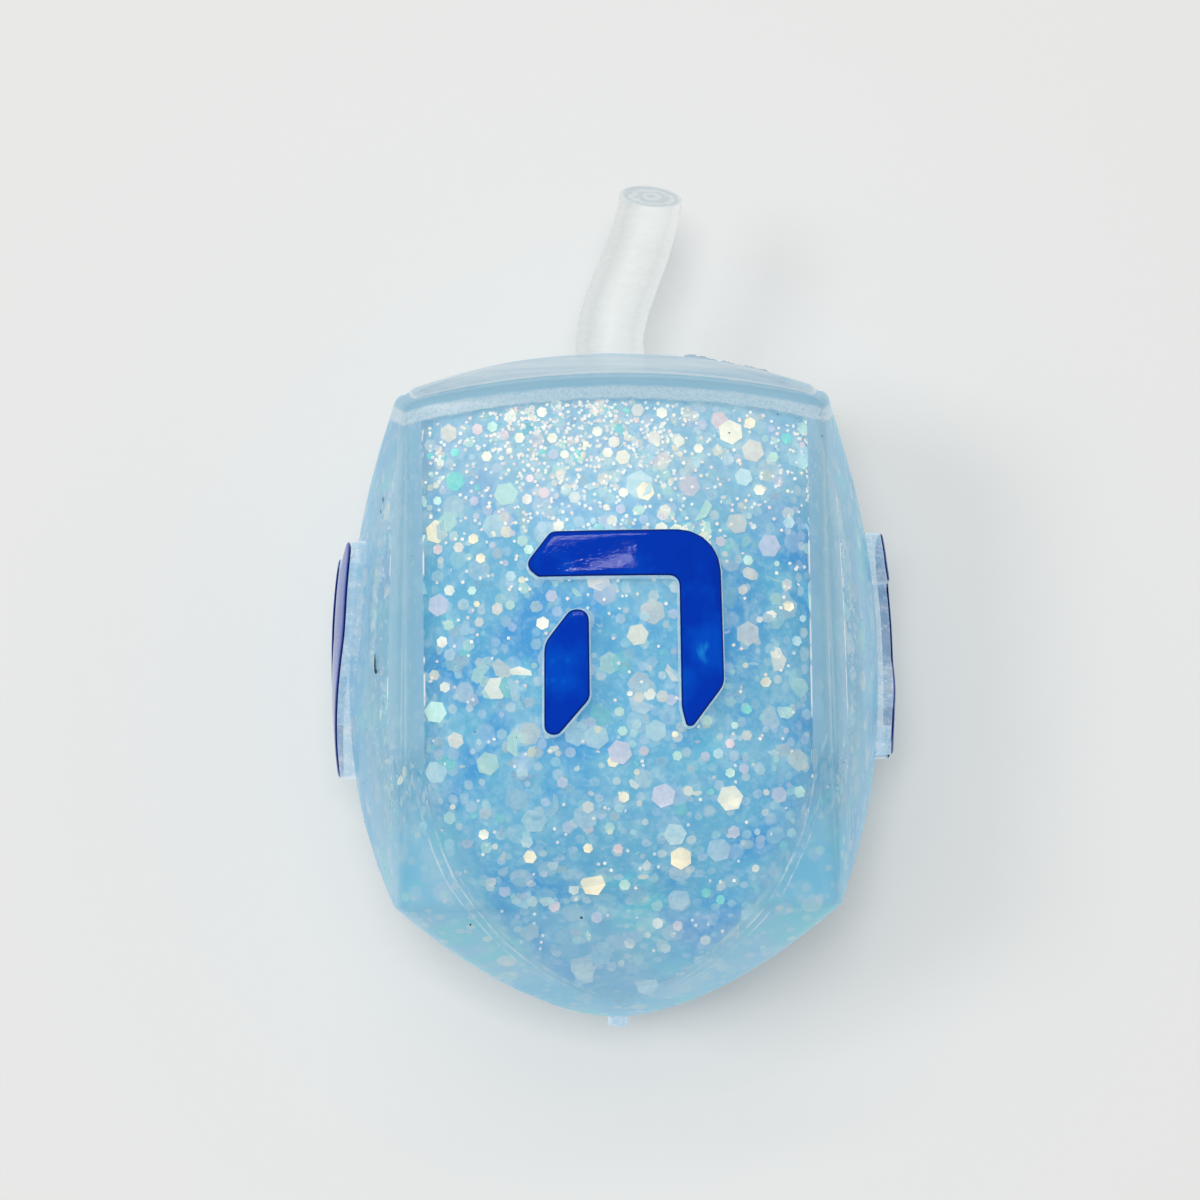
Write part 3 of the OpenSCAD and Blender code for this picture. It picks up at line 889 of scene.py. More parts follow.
# Depths in the real liquid: that of an average flake, the one that is squeezed into the room which flakes
# have here, and those over which the liquid's colour covers a flake and its edge grows soft
MEAN_DEPTH = 3.2 * MM
SQUEEZED_DEPTH = 2.2 * MM
FOG_DEPTH = 5.0 * MM
SOFT_DEPTH = 3.5 * MM
# The depth from which a flake may lie behind one that the photograph shows
HIDDEN_DEPTH = 8 * MM
# How deep the finest flakes hang as a share of the others' depth
FINE_SHARE = 0.35

# Flakes that the photograph shows, by where their middle lies in it, their width there and their film.
# A trailing 1 marks those that shine with a painted glint. They lie just under the skin, and tilt by few
# degrees.
PHOTO_MIDDLE = (616.5, 636.0)
PHOTO_PIXEL = 0.1072 * MM
HERO_DEPTH = 0.2 * MM
HERO_TILT = 9
HEROES_PX = [
    (450, 427, 22, "beige", 0), (479, 424, 14, "pink", 0), (494, 422, 13, "mint", 1),
    (456, 447, 11, "aqua", 1), (521, 434, 13, "cream", 1), (554, 435, 13, "cream", 1),
    (544, 408, 13, "cream", 1), (599, 429, 13, "cream", 1), (609, 451, 13, "cream", 1),
    (555, 452, 13, "lilac", 0), (566, 452, 11, "cream", 1), (488, 452, 13, "cream", 1),
    (624, 456, 18, "cream", 0), (531, 476, 10, "pink", 1), (456, 476, 24, "aqua", 0),
    (438, 495, 11, "mint", 1), (475, 497, 12, "lilac", 0), (507, 491, 29, "mint", 0),
    (528, 497, 13, "beige", 1), (545, 491, 14, "pink", 0), (624, 492, 12, "cream", 1),
    (621, 509, 12, "lilac", 0), (640, 484, 34, "ice", 0), (646, 491, 22, "gold", 1),
    (437, 526, 29, "gold", 1), (448, 517, 24, "mint", 0), (438, 544, 13, "pink", 0),
    (459, 543, 13, "beige", 0), (474, 535, 13, "gold", 1), (481, 555, 12, "gold", 1),
    (523, 539, 14, "mint", 0), (529, 548, 12, "mint", 1), (543, 526, 14, "haze", 0),
    (511, 574, 13, "ice", 0), (438, 600, 27, "lilac", 0), (472, 587, 11, "mint", 1),
    (479, 619, 12, "beige", 0), (510, 603, 12, "mint", 0), (542, 622, 16, "cream", 1),
    (551, 595, 15, "lilac", 0), (636, 635, 26, "cream", 0), (619, 619, 13, "haze", 0),
    (733, 430, 30, "cream", 1), (722, 418, 22, "pink", 0), (755, 449, 28, "beige", 0),
    (700, 447, 12, "cream", 1), (776, 455, 13, "mint", 0), (664, 410, 14, "cream", 1),
    (640, 407, 16, "beige", 0), (745, 476, 22, "ice", 0), (790, 436, 14, "aqua", 0),
    (770, 545, 28, "lilac", 0), (789, 605, 14, "gold", 1), (748, 560, 13, "mint", 1),
    (742, 590, 12, "beige", 0), (797, 640, 13, "ice", 0), (434, 707, 27, "mint", 1),
    (617, 711, 12, "mint", 0), (620, 730, 12, "mint", 0), (634, 724, 12, "ice", 0),
    (653, 730, 26, "ice", 0), (617, 751, 29, "lilac", 0), (610, 760, 14, "gold", 1),
    (641, 750, 12, "pink", 0), (674, 755, 12, "mint", 0), (702, 756, 13, "lilac", 0),
    (715, 753, 13, "ice", 0), (727, 772, 12, "mint", 1), (741, 768, 13, "lilac", 0),
    (727, 743, 12, "pink", 1), (745, 709, 12, "aqua", 0), (732, 725, 9, "mint", 1),
    (660, 794, 29, "lilac", 0), (727, 797, 31, "cream", 0), (730, 800, 14, "cream", 1),
    (777, 794, 20, "lilac", 0), (798, 791, 15, "mint", 0), (672, 832, 28, "ice", 0),
    (678, 856, 27, "gold", 1), (615, 846, 12, "pink", 0), (716, 848, 30, "haze", 0),
    (754, 867, 10, "cream", 0), (590, 880, 30, "gold", 1), (585, 845, 12, "gold", 1),
    (527, 853, 16, "gold", 1), (481, 830, 13, "cream", 1), (447, 813, 16, "mint", 0),
    (420, 821, 12, "mint", 1), (524, 838, 15, "ice", 0), (486, 760, 28, "mint", 0),
    (454, 736, 20, "beige", 0), (520, 770, 15, "ice", 0), (560, 780, 14, "lilac", 0),
    (622, 882, 14, "mint", 0), (704, 891, 12, "aqua", 0), (719, 898, 12, "aqua", 0),
    (676, 924, 13, "pink", 0), (677, 897, 28, "haze", 0), (782, 844, 12, "aqua", 0),
    (790, 832, 12, "mint", 0),
]


def flake_reach(b):
    """How high over the tip the middles of flakes lie, at least and at most."""
    return b.tip_wall + 1.5 * MM, edge_y(b) - b.edge_wall - 0.25 * MM


def over_shoulder(b, y):
    """How far up a place is from the cavity's shoulder, 0, to the highest flakes, 1."""
    return max(0, (y - b.shoulder_h) / (flake_reach(b)[1] - b.shoulder_h))


class DREIDEL_OT_glitter(bpy.types.Operator):
    """Adds the glitter in four sizes, hung in the liquid between its depth and the skin"""
    bl_idname = "dreidel.glitter"
    bl_label = "Glitter"

    def execute(self, context):
        g = settings().glitter
        material = glitter_finish()
        for size, mix, risen_share, slot in (
                ("large", PLAIN_MIX, 0.0, "cream_glitter"), ("medium", LIVELY_MIX, 0.25, "aqua_glitter"),
                ("small", LIVELY_MIX, 0.5, "lilac_glitter"), ("fine", DOT_MIX, 0.82, "cream_glitter")):
            width, count = getattr(g, size), getattr(g, size + "_count")
            flakes = self.scatter("glitter_" + size + "_flakes", width, count, mix, risen_share)
            stands_for = [] if size == "fine" else ["glitter_" + size]
            finish_with(flakes, material, stands_for)
        return {"FINISHED"}

    def heroes(self, width=None):
        """The flakes that the photograph shows: side, place, height, width, film and shine."""
        sizes = settings().glitter
        ranks = (sizes.fine, sizes.small, sizes.medium, sizes.large)
        found = []
        for x, y, wide, film, shine in HEROES_PX:
            size = wide * PHOTO_PIXEL
            if width in (None, min(ranks, key=lambda rank: abs(rank - size))):
                height = settings().letters.middle_h - (y - PHOTO_MIDDLE[1]) * PHOTO_PIXEL
                found.append((0, (x - PHOTO_MIDDLE[0]) * PHOTO_PIXEL, height, size, film, shine))
        return found

    def drawn(self, rng, width, count, mix, risen_share):
        """Draws flakes: side, place, height, width, film, shine, and depth in the liquid."""
        b = settings().body
        low, high = flake_reach(b)
        films = rng.choices(list(mix), weights=list(mix.values()), k=count)
        found = []
        for film in films:
            side = rng.randrange(4)
            risen = rng.random() < risen_share
            while True:
                y = high - abs(rng.gauss(0, 0.13)) * (high - low) if risen else rng.uniform(low, high)
                if y > low and rng.random() < float(cavity_half(b, y)) / cavity_corner(b):
                    break
            half = float(cavity_half(b, y))
            along = rng.uniform(-0.985, 0.985) * half
            if risen and rng.random() < 0.6:
                along = max(-0.96, min(0.96, rng.gauss(-0.2, 0.33))) * half
            y -= b.edge_arch * (along / half) ** 2 * over_shoulder(b, y)
            shine = film in BRIGHT and rng.random() < 0.6
            depth = rng.expovariate(1 / MEAN_DEPTH) + max(0, b.shoulder_h - y) * rng.uniform(0, 0.25)
            depth *= 1 if width > settings().glitter.fine else FINE_SHARE
            found.append((side, along, y, width * rng.uniform(0.86, 1.06), film, shine, depth))
        return found

    def scatter(self, name, width, count, mix, risen_share):
        """Makes the flakes of one size as one mesh, each with its own tilt, colour, glow and clearness."""
        b, g = settings().body, settings().glitter
        rng = random.Random(g.seed + int(width / MM * 100))
        sides = 6 if width > g.fine else 4
        nothing_selected()
        bpy.ops.mesh.primitive_uv_sphere_add(segments=sides, ring_count=2, radius=1)
        flake = named(name)
        model = points_of(flake) * ((1, 1, 0.02) if sides == 6 else (AS_LARGE, AS_LARGE, 0.4))
        faces = [tuple(p.vertices) for p in flake.data.polygons]
        bpy.data.objects.remove(flake)
        liquid = np.array(settings().colours.liquid[:3])
        rim = np.abs(model[:, 2]) < 1e-6
        placed = self.drawn(rng, width, count, mix, risen_share)
        kept_free = [hero[1:4] for hero in self.heroes()]
        placed = [p for p in placed if p[0] or p[6] > HIDDEN_DEPTH or all(
            math.hypot(p[1] - x, p[2] - y) > (size + p[3]) * 0.45 for x, y, size in kept_free)]
        placed += [hero + (HERO_DEPTH,) for hero in self.heroes(width)]
        points, tint, glow, seen = [], [], [], []
        for side, along, y, size, film, shine, depth in placed:
            half = float(cavity_half(b, y))
            share = min(1, abs(along) / half)
            outer = half + float(cavity_bulge(b, y)) * (1 - share ** 2)
            room = outer - float(core_out(b, y, share)) - FLAKE_TO_SKIN - FLAKE_TO_DEPTH
            under = room * (1 - math.exp(-depth / SQUEEZED_DEPTH))
            # Most flakes lie nearly flat against the skin, and the others stand at any slant
            tilt = abs(rng.gauss(0, 12)) if rng.random() < 0.75 else rng.uniform(15, 70)
            tilt = min(tilt, HERO_TILT) if depth == HERO_DEPTH else tilt
            lean = size / 2 * math.sin(math.radians(tilt))
            out = outer - FLAKE_TO_SKIN - max(under, min(lean, room))
            at = on_side(side, along, y, out)
            outwards = on_side(side, along / half * 0.3, 0.2 * (face_share(b, y) - 0.5), 1.0)
            normal = Vector(outwards).normalized()
            turn = normal.to_track_quat("Z", "Y").to_matrix()
            spin = Matrix.Rotation(rng.uniform(0, 2 * math.pi), 3, "Z")
            lie = rng.uniform(0, 2 * math.pi)
            tip = Matrix.Rotation(math.radians(tilt), 3, Vector((math.cos(lie), math.sin(lie), 0)))
            points.append((model * size / 2) @ np.array(turn @ tip @ spin).T + at)
            fog = 1 - math.exp(-depth / FOG_DEPTH)
            colour = np.array(tone(*FILM[film])[:3])
            shade = colour * rng.uniform(0.92, 1.04) * (1 - fog * 0.75) + liquid * fog * 0.75
            tint.append(np.tile(shade * 0.72, (len(model), 1)))
            # Painted glow on every flake, a little stronger towards the top, and a painted glint across it,
            # brightest towards one side and strongest on the flakes that shine
            turned = np.clip(0.6 + model[:, 0] * math.cos(lie) + model[:, 1] * math.sin(lie), 0, 1)
            lift = 0.42 + 0.1 * min(1, over_shoulder(b, y))
            glow.append(shade * lift + turned[:, None] * shade * ((0.2 if shine else 0.04) * (1 - fog)))
            clear = rng.uniform(0.4, 0.85) * (1 - 0.35 * fog) if not shine and sides == 6 else 0.97
            edge = min(0.95, max(0.0, depth / SOFT_DEPTH + rng.uniform(-0.15, 0.15)))
            seen.append(np.where(rim, clear * (1 - edge), clear))
        piece = repeated(name, laid_down(b, np.concatenate(points)), faces, len(model))
        ones = np.ones(len(model) * len(placed))
        give(piece, "tint", np.c_[np.clip(np.concatenate(tint), 0, 1), ones], "FLOAT_COLOR")
        give(piece, "glow", np.c_[np.clip(np.concatenate(glow), 0, 1), ones], "FLOAT_COLOR")
        give(piece, "seen", np.concatenate(seen))
        return piece


def corner_arc(before, corner, after, r, steps=6):
    """The points of an arc that touches both sides of a corner."""
    u = (before - corner) / np.linalg.norm(before - corner)
    v = (after - corner) / np.linalg.norm(after - corner)
    half = math.acos(max(-1, min(1, float(u @ v)))) / 2
    middle = (u + v) / np.linalg.norm(u + v)
    centre = corner + middle * r / math.sin(half)
    start, end = corner + u * r / math.tan(half) - centre, corner + v * r / math.tan(half) - centre
    turn = math.atan2(start[0] * end[1] - start[1] * end[0], float(start @ end))
    return [centre + np.array([start[0] * math.cos(t) - start[1] * math.sin(t),
                               start[0] * math.sin(t) + start[1] * math.cos(t)])
            for t in np.linspace(0, turn, steps)]


def outline(corners, size, spacing=0.7 * MM):
    """A stroke's outline as points no further apart than the spacing."""
    at = [np.array(c[:2]) * size for c in corners]
    ring = []
    for i, c in enumerate(corners):
        ring += corner_arc(at[i - 1], at[i], at[(i + 1) % len(at)], c[2] * size)
    full = []
    for i, p in enumerate(ring):
        q = ring[(i + 1) % len(ring)]
        n = max(1, int(np.linalg.norm(q - p) / spacing))
        full += [p + (q - p) * k / n for k in range(n)]
    return np.array(full)


def gap_to(ring, points):
    """The nearest place of an outline to each point, and how far it is."""
    start, end = ring, np.roll(ring, -1, axis=0)
    way = end - start
    share = ((points[:, None] - start) * way).sum(-1) / (way ** 2).sum(-1)
    near = start + np.clip(share, 0, 1)[..., None] * way
    gaps = np.linalg.norm(points[:, None] - near, axis=-1)
    best = gaps.argmin(1)
    which = np.arange(len(points))
    return near[which, best], gaps[which, best]


def drawn_in(ring, thickness, step=0.012 * MM):
    """An outline moved inwards, or outwards where the thickness is less than 0, without crossing itself."""
    way = np.roll(ring, -1, axis=0) - np.roll(ring, 1, axis=0)
    inward = np.stack([-way[:, 1], way[:, 0]], -1) / np.linalg.norm(way, axis=1)[:, None]
    if thickness <= 0:
        return ring + inward * thickness
    at = ring + inward * step
    for _ in range(int(thickness / step) - 1):
        near, gaps = gap_to(ring, at)
        at = at + (at - near) / gaps[:, None] * step
        at = at * 0.9 + (np.roll(at, 1, axis=0) + np.roll(at, -1, axis=0)) * 0.05
    return at


def stroke_block(name, ring, profile):
    """A stroke as a flat block through its outline drawn in by the profile's steps (thickness, height)."""
    area = (ring[:, 0] * np.roll(ring[:, 1], -1) - ring[:, 1] * np.roll(ring[:, 0], -1)).sum()
    ring = ring if area > 0 else ring[::-1]
    rows = [np.c_[drawn_in(ring, thickness), np.full(len(ring), height)] for thickness, height in profile]
    block, _, _ = skin_of_rows(name, np.array(rows))
    bpy.ops.object.mode_set(mode="EDIT")
    bpy.ops.mesh.select_all(action="SELECT")
    bpy.ops.mesh.remove_doubles(threshold=1e-7)
    bpy.ops.mesh.fill_holes(sides=0)
    bpy.ops.mesh.select_all(action="SELECT")
    bpy.ops.mesh.quads_convert_to_tris(quad_method="BEAUTY", ngon_method="BEAUTY")
    bpy.ops.mesh.select_all(action="DESELECT")
    bpy.ops.object.mode_set(mode="OBJECT")
    flat = np.abs(points_of(block)[:, 2] - profile[-1][1]) < 1e-8
    for face in block.data.polygons:
        face.select = all(flat[v] for v in face.vertices)
    bpy.ops.object.mode_set(mode="EDIT")
    bpy.ops.mesh.subdivide(number_cuts=4)
    bpy.ops.object.mode_set(mode="OBJECT")
    return block


# A pressed letter's layers keep this share of their heights, counted from a height over all of them
PRESSED_SHARE = 0.001
PRESSED_FROM = 2.1 * MM
# How far a pressed letter's rubber stays off the floor, which leaves room for its paint
PRESSED_PAINT = 0.26 * MM


def lay_on_face(block, b, side, middle_h, pressed_at=None):
    """Bends a flat block onto the face of one side. A pressed one goes no further out than the floor."""
    p = points_of(block)
    y = p[:, 1] + middle_h
    out = face_height(b, p[:, 0], y) + p[:, 2]
    if pressed_at is not None:
        out = np.minimum(out, pressed_at - np.maximum(0, PRESSED_FROM - p[:, 2]) * PRESSED_SHARE)
    move_points(block, laid_down(b, on_side(side, p[:, 0], y, out)))


LETTERS = {
    "hei": ("front", [HEI_BAR, HEI_LEG]), "gimel": ("right", [GIMEL]),
    "nun": ("back", [NUN]), "shin": ("left", [SHIN]),
}


# A pad's wall: how far inwards and how high in millimetres, at its foot, and from its top up to its flat
PAD_FOOT = ((-0.16, -0.5), (-0.12, 0.0), (-0.04, 0.25))
PAD_RIM = ((0.0, -0.1), (0.03, -0.03), (0.08, 0.0), (0.4, 0.0))
# The paint's rounded edge: how far inwards in millimetres, and at what share of its thickness
COAT_PROFILE = ((0, -0.08), (0, 0.24), (0.04, 0.52), (0.12, 0.76), (0.28, 0.91), (0.6, 0.97), (1.0, 0.96))


class DREIDEL_OT_letters(bpy.types.Operator):
    """Adds the raised letters and the paint on them"""
    bl_idname = "dreidel.letters"
    bl_label = "Letters"

    def execute(self, context):
        b, s = settings().body, settings().letters
        clear, paint = pad_finish(), paint_finish()
        for name, (side, strokes) in LETTERS.items():
            size = s.front_h if side == "front" else s.side_h
            pressed = side == "back"
            pads, coats = [], []
            for stroke in strokes:
                ring = outline(stroke, size)
                top = s.relief
                wall = [(inward * MM, height * MM) for inward, height in PAD_FOOT]
                wall += [(inward * MM, top + height * MM) for inward, height in PAD_RIM]
                pad = stroke_block("pad", ring, wall)
                lay_on_face(pad, b, SIDES[side], s.middle_h, b.axis_h - PRESSED_PAINT if pressed else None)
                tidy_mesh(40)
                pads.append(pad)
                rim = s.paint_rim
                coat = stroke_block("coat", ring, [
                    (rim + inward * MM, top + share * s.paint_t) for inward, share in COAT_PROFILE])
                _, gaps = gap_to(ring, points_of(coat)[:, :2])
                give(coat, "edge", (gaps - rim) / MM)
                lay_on_face(coat, b, SIDES[side], s.middle_h, b.axis_h if pressed else None)
                coats.append(coat)
            pad = joined("letter_" + name, pads)
            finish_with(pad, clear)
            coat = joined("coat_" + name, coats)
            tidy_mesh(60)
            finish_with(coat, paint, stands_for=["paint_" + name])
        return {"FINISHED"}


# The stem's middle line as a Bezier curve, by shares of its length to the right and up
STEM_ROUTE = np.array([[0.01, 0], [-0.03, 0.33], [0.22, 0.6], [0.27, 1]])
# The rings of its cut end, from its edge to its middle: share of the radius, and height in millimetres
CUT_RINGS = ((0.975, 0.07), (0.93, 0.12), (0.8, 0.17), (0.62, 0.1), (0.5, 0.18), (0.36, 0.12), (0.2, 0.2),
             (0.0, 0.2))


class DREIDEL_OT_stem(bpy.types.Operator):
    """Adds the clear, soft stem with its plug"""
    bl_idname = "dreidel.stem"
    bl_label = "Stem"

    def execute(self, context):
        b, s = settings().body, settings().stem

        def at(t):
            u = 1 - t
            share = (u ** 3 * STEM_ROUTE[0] + 3 * u * u * t * STEM_ROUTE[1]
                     + 3 * u * t * t * STEM_ROUTE[2] + t ** 3 * STEM_ROUTE[3])
            return np.array([share[0] * s.stem_len, top_y(b) + share[1] * s.stem_len, s.rise * t * t])

        turns = np.linspace(0, 2 * math.pi, 56, endpoint=False)
        round_it = np.stack([np.sin(turns), np.zeros(56), np.cos(turns)], -1)
        rows = []
        foot = top_y(b) - b.top_wall + 0.1 * MM
        for y, r in ((foot, 0), (foot, 0.5), (foot, 0.92), (foot + 0.15 * MM, 1),
                     (top_y(b) - 1.0 * MM, 1), (top_y(b) - 0.4 * MM, 0.985)):
            rows.append(round_it * (s.plug_d / 2 * r, 0, s.plug_d / 2 * r) + (0, y, 0))
        for t in np.linspace(0, 1, 46):
            way = at(t + 0.01) - at(t - 0.01)
            way /= np.linalg.norm(way)
            side = np.array([way[1], -way[0], 0])
            side /= np.linalg.norm(side)
            up = np.cross(side, way)
            r = (s.stem_d + (s.end_d - s.stem_d) * t) / 2
            wobble = 1 + 0.006 * np.sin(turns * 3 + t * 5) + 0.004 * math.sin(t * 31)
            slant = s.cut / 2 * max(0, (t - 0.55) / 0.45)
            turned = np.sin(turns)[:, None] * side + np.cos(turns)[:, None] * up
            rows.append(at(t) + r * wobble[:, None] * turned - way * slant * np.cos(turns)[:, None])
        last, centre = rows[-1], at(1.0)
        ends, rings = [0] * len(rows), [1.0] * len(rows)
        for share, rise in CUT_RINGS:
            rows.append(centre + (last - centre) * share + way * rise * MM)
            ends.append(1)
            rings.append(share)
        stem, row, column = skin_of_rows("soft_stem", laid_down(b, np.array(rows)))
        give(stem, "end", np.array(ends)[row])
        give(stem, "ring", np.array(rings)[row])
        # How far round to the left each point lies: the finish uses it for painted shade and more grain on
        # the stem's left side
        give(stem, "left", -np.sin(turns)[column])
        tidy_mesh(60)
        stem.data.materials.append(stem_finish())
        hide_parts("stem")
        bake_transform(stem)
        return {"FINISHED"}


# The torn flash: where each run starts and ends across the top, by shares of the upper corner's place, and
# how many millimetres it lies in front of the axis
FLASH_RUNS = ((0.36, 0.86, 4.5), (0.42, 0.86, 2.5), (-0.93, -0.72, 3.0))
# The rings of the stub at the tip: millimetres up from the tip, and radius in millimetres
NUB_RINGS = ((0.5, 0.0), (0.5, 1.25), (0.1, 1.2), (-0.35, 1.05), (-0.7, 1.1), (-0.95, 1.0), (-1.05, 0.6),
             (-1.0, 0.0))


class DREIDEL_OT_seams(bpy.types.Operator):
    """Adds the moulded ridges, the torn flash, the sprue's nub and the bead round the stem"""
    bl_idname = "dreidel.seams"
    bl_label = "Seams and flash"

    def execute(self, context):
        b, s = settings().body, settings().stem
        pale = ridge_finish()
        rng = random.Random(12)
        ridges = []
        for sx, sz in ((1, 1), (-1, 1), (1, -1), (-1, -1)):
            path, radii = [], []
            for y in np.linspace(b.tip_wall + 1.2 * MM, b.shoulder_h + 1 * MM, 40):
                half = float(cavity_half(b, y)) + 0.1 * MM
                path.append((sx * half, y, sz * half))
                radii.append(MM * (0.05 + 0.07 * rng.random()))
            ridges.append(tube("ridge", laid_down(b, np.array(path)), radii, 6))
        finish_with(joined("cavity_ridges", ridges), pale)
        self.flash(b, pale)
        self.nub(b)
        self.bead(b, s)
        return {"FINISHED"}

    def flash(self, b, pale):
        """A thin torn edge along the top, to both sides of the stem."""
        rng = random.Random(5)
        parts = []
        for start, end, front in FLASH_RUNS:
            lift = 0.0
            path, radii = [], []
            for share in np.linspace(start, end, 52):
                lift = 0.65 * lift + 0.35 * rng.uniform(0, 0.7) * MM
                y = top_y(b) - b.dome_h * share ** 2 + lift * 0.3
                path.append((share * b.high_corner, y, front * MM))
                radii.append(0.1 * MM + lift * 0.5)
            parts.append(tube("flash", laid_down(b, np.array(path)), radii, 6, 0.5))
        finish_with(joined("torn_flash", parts), pale)

    def nub(self, b):
        """The torn stub at the tip, where the rubber was cut from its sprue."""
        rng = random.Random(8)
        rows = []
        turns = np.linspace(0, 2 * math.pi, 14, endpoint=False)
        for y, r in NUB_RINGS:
            jitter = np.array([1 + (rng.uniform(-0.12, 0.12) if y < 0 else 0) for _ in turns])
            dip = np.array([rng.uniform(-0.1, 0.1) if y < -0.5 and r else 0 for _ in turns])
            r_here = r * jitter
            rows.append(np.stack([np.sin(turns) * r_here, y + dip, np.cos(turns) * r_here * 0.8], -1) * MM)
        nub, _, _ = skin_of_rows("sprue_nub", laid_down(b, np.array(rows)))
        tidy_mesh(30)
        finish_with(nub, pad_finish())

    def bead(self, b, s):
        """The bead of rubber round the stem's root."""
        turns = np.linspace(0, 2 * math.pi, 49)
        rng = random.Random(3)
        r = s.stem_d / 2 + 0.12 * MM
        y = top_y(b) - b.dome_h * (r / b.high_corner) ** 2 + 0.03 * MM
        path = [(math.sin(t) * r - 0.01 * s.stem_len, y, math.cos(t) * r) for t in turns]
        radii = [0.16 * MM * (1 + 0.5 * math.sin(3 * t + 1) * rng.random()) for t in turns]
        bead = tube("stem_bead", laid_down(b, np.array(path)), radii, 8)
        finish_with(bead, pad_finish())


# Marks on the skin that the photograph shows: the side, millimetres along it and over the tip, the width
# and the length in millimetres, and the turn in degrees
MARKS_MM = [
    ("front", -4.2, 11.2, 0.36, 0.3, 0), ("left", 17.3, 38.8, 1.1, 2.3, 3),
    ("left", 17.6, 38.0, 1.5, 0.7, 0),
    ("front", -16.0, 10.6, 0.25, 0.22, 10), ("front", 17.5, 64.8, 0.2, 0.14, 0),
    ("left", 16.9, 56.6, 0.5, 1.1, -15), ("left", 16.4, 55.4, 0.35, 0.6, 30),
    ("front", -21.8, 50.0, 0.12, 0.12, 0), ("front", 22.3, 62.5, 0.12, 0.2, 0),
]
# How many small specks are strewn over the skin besides them, and how wide one is on average
SPECK_COUNT = 220
SPECK_SIZE = 0.07 * MM
# The least thickness of a speck, and its thickness as a share of its width
SPECK_LEAST = 0.06 * MM
SPECK_THICKNESS = 0.16


class DREIDEL_OT_specks(bpy.types.Operator):
    """Adds the dark specks on the skin"""
    bl_idname = "dreidel.specks"
    bl_label = "Specks"

    def execute(self, context):
        b = settings().body
        rng = random.Random(21)
        nothing_selected()
        bpy.ops.mesh.primitive_uv_sphere_add(segments=6, ring_count=4, radius=0.5)
        grain = named("grain")
        model = points_of(grain)
        faces = sorted(tuple(p.vertices) for p in grain.data.polygons)
        bpy.data.objects.remove(grain)
        marks = [(SIDES[side], along * MM, y * MM, wide * MM, long * MM, math.radians(turn))
                 for side, along, y, wide, long, turn in MARKS_MM]
        for _ in range(SPECK_COUNT):
            side, y = rng.randrange(4), rng.uniform(b.point_h + 1 * MM, edge_y(b) - 2 * MM)
            size = SPECK_SIZE * math.exp(rng.gauss(0, 0.45))
            share = rng.uniform(-0.95, 0.95)
            marks.append((side, share * half_width(b, 0.5), y - b.edge_arch * share ** 2, size,
                          size * (1 + 1.2 * rng.random() ** 3), rng.uniform(0, math.pi)))
        points = []
        for side, along, y, wide, long, turn in marks:
            flat = model * (wide, long, max(SPECK_LEAST, wide * SPECK_THICKNESS))
            flat[:, :2] *= np.array([[rng.uniform(0.7, 1.1)] for _ in flat])
            cos, sin = math.cos(turn), math.sin(turn)
            flat = flat @ np.array([[cos, sin, 0], [-sin, cos, 0], [0, 0, 1]])
            out = float(face_height(b, along, y)) + 0.01 * MM
            points.append(on_side(side, flat[:, 0] + along, flat[:, 1] + y, flat[:, 2] + out))
        piece = repeated("specks", laid_down(b, np.concatenate(points)), faces, len(model))
        bpy.ops.object.shade_smooth()
        finish_with(piece, speck_finish())
        return {"FINISHED"}


# The lamps: name, place, size, the share of its light that each gives the floor, and if the gloss shows it
LAMPS = (
    ("overhead", (-0.1, 0.05, 2.3), (0.5, 0.5), 0.42, False),
    ("left", (-0.98, 0.1, 1.9), (0.5, 0.5), 0.13, False),
    ("glow", (-0.2, 0.85, 1.8), (1.0, 0.16), 0.05, True),
    ("strip", (-0.085, 0.32, 1.2), (0.42, 0.013), 0.023, True),
)
# Where the lamps point, and how strong the world is on matt surfaces and in the gloss
LIT_POINT = Vector((0, 0, 0.03))
WORLD_ON_MATT = 0.37
WORLD_IN_GLOSS = 0.05
# What the camera looks at, how far away it is, how it leans to the left and towards the tip, its roll,
# and its lens in millimetres
CAMERA_AIM = Vector((-1.39, 0.33, 30.53)) * MM
CAMERA_AWAY = 0.5
CAMERA_LEANS = (math.radians(-1), math.radians(-3.7))
CAMERA_ROLL = math.radians(-0.7)
CAMERA_LENS = 133.6


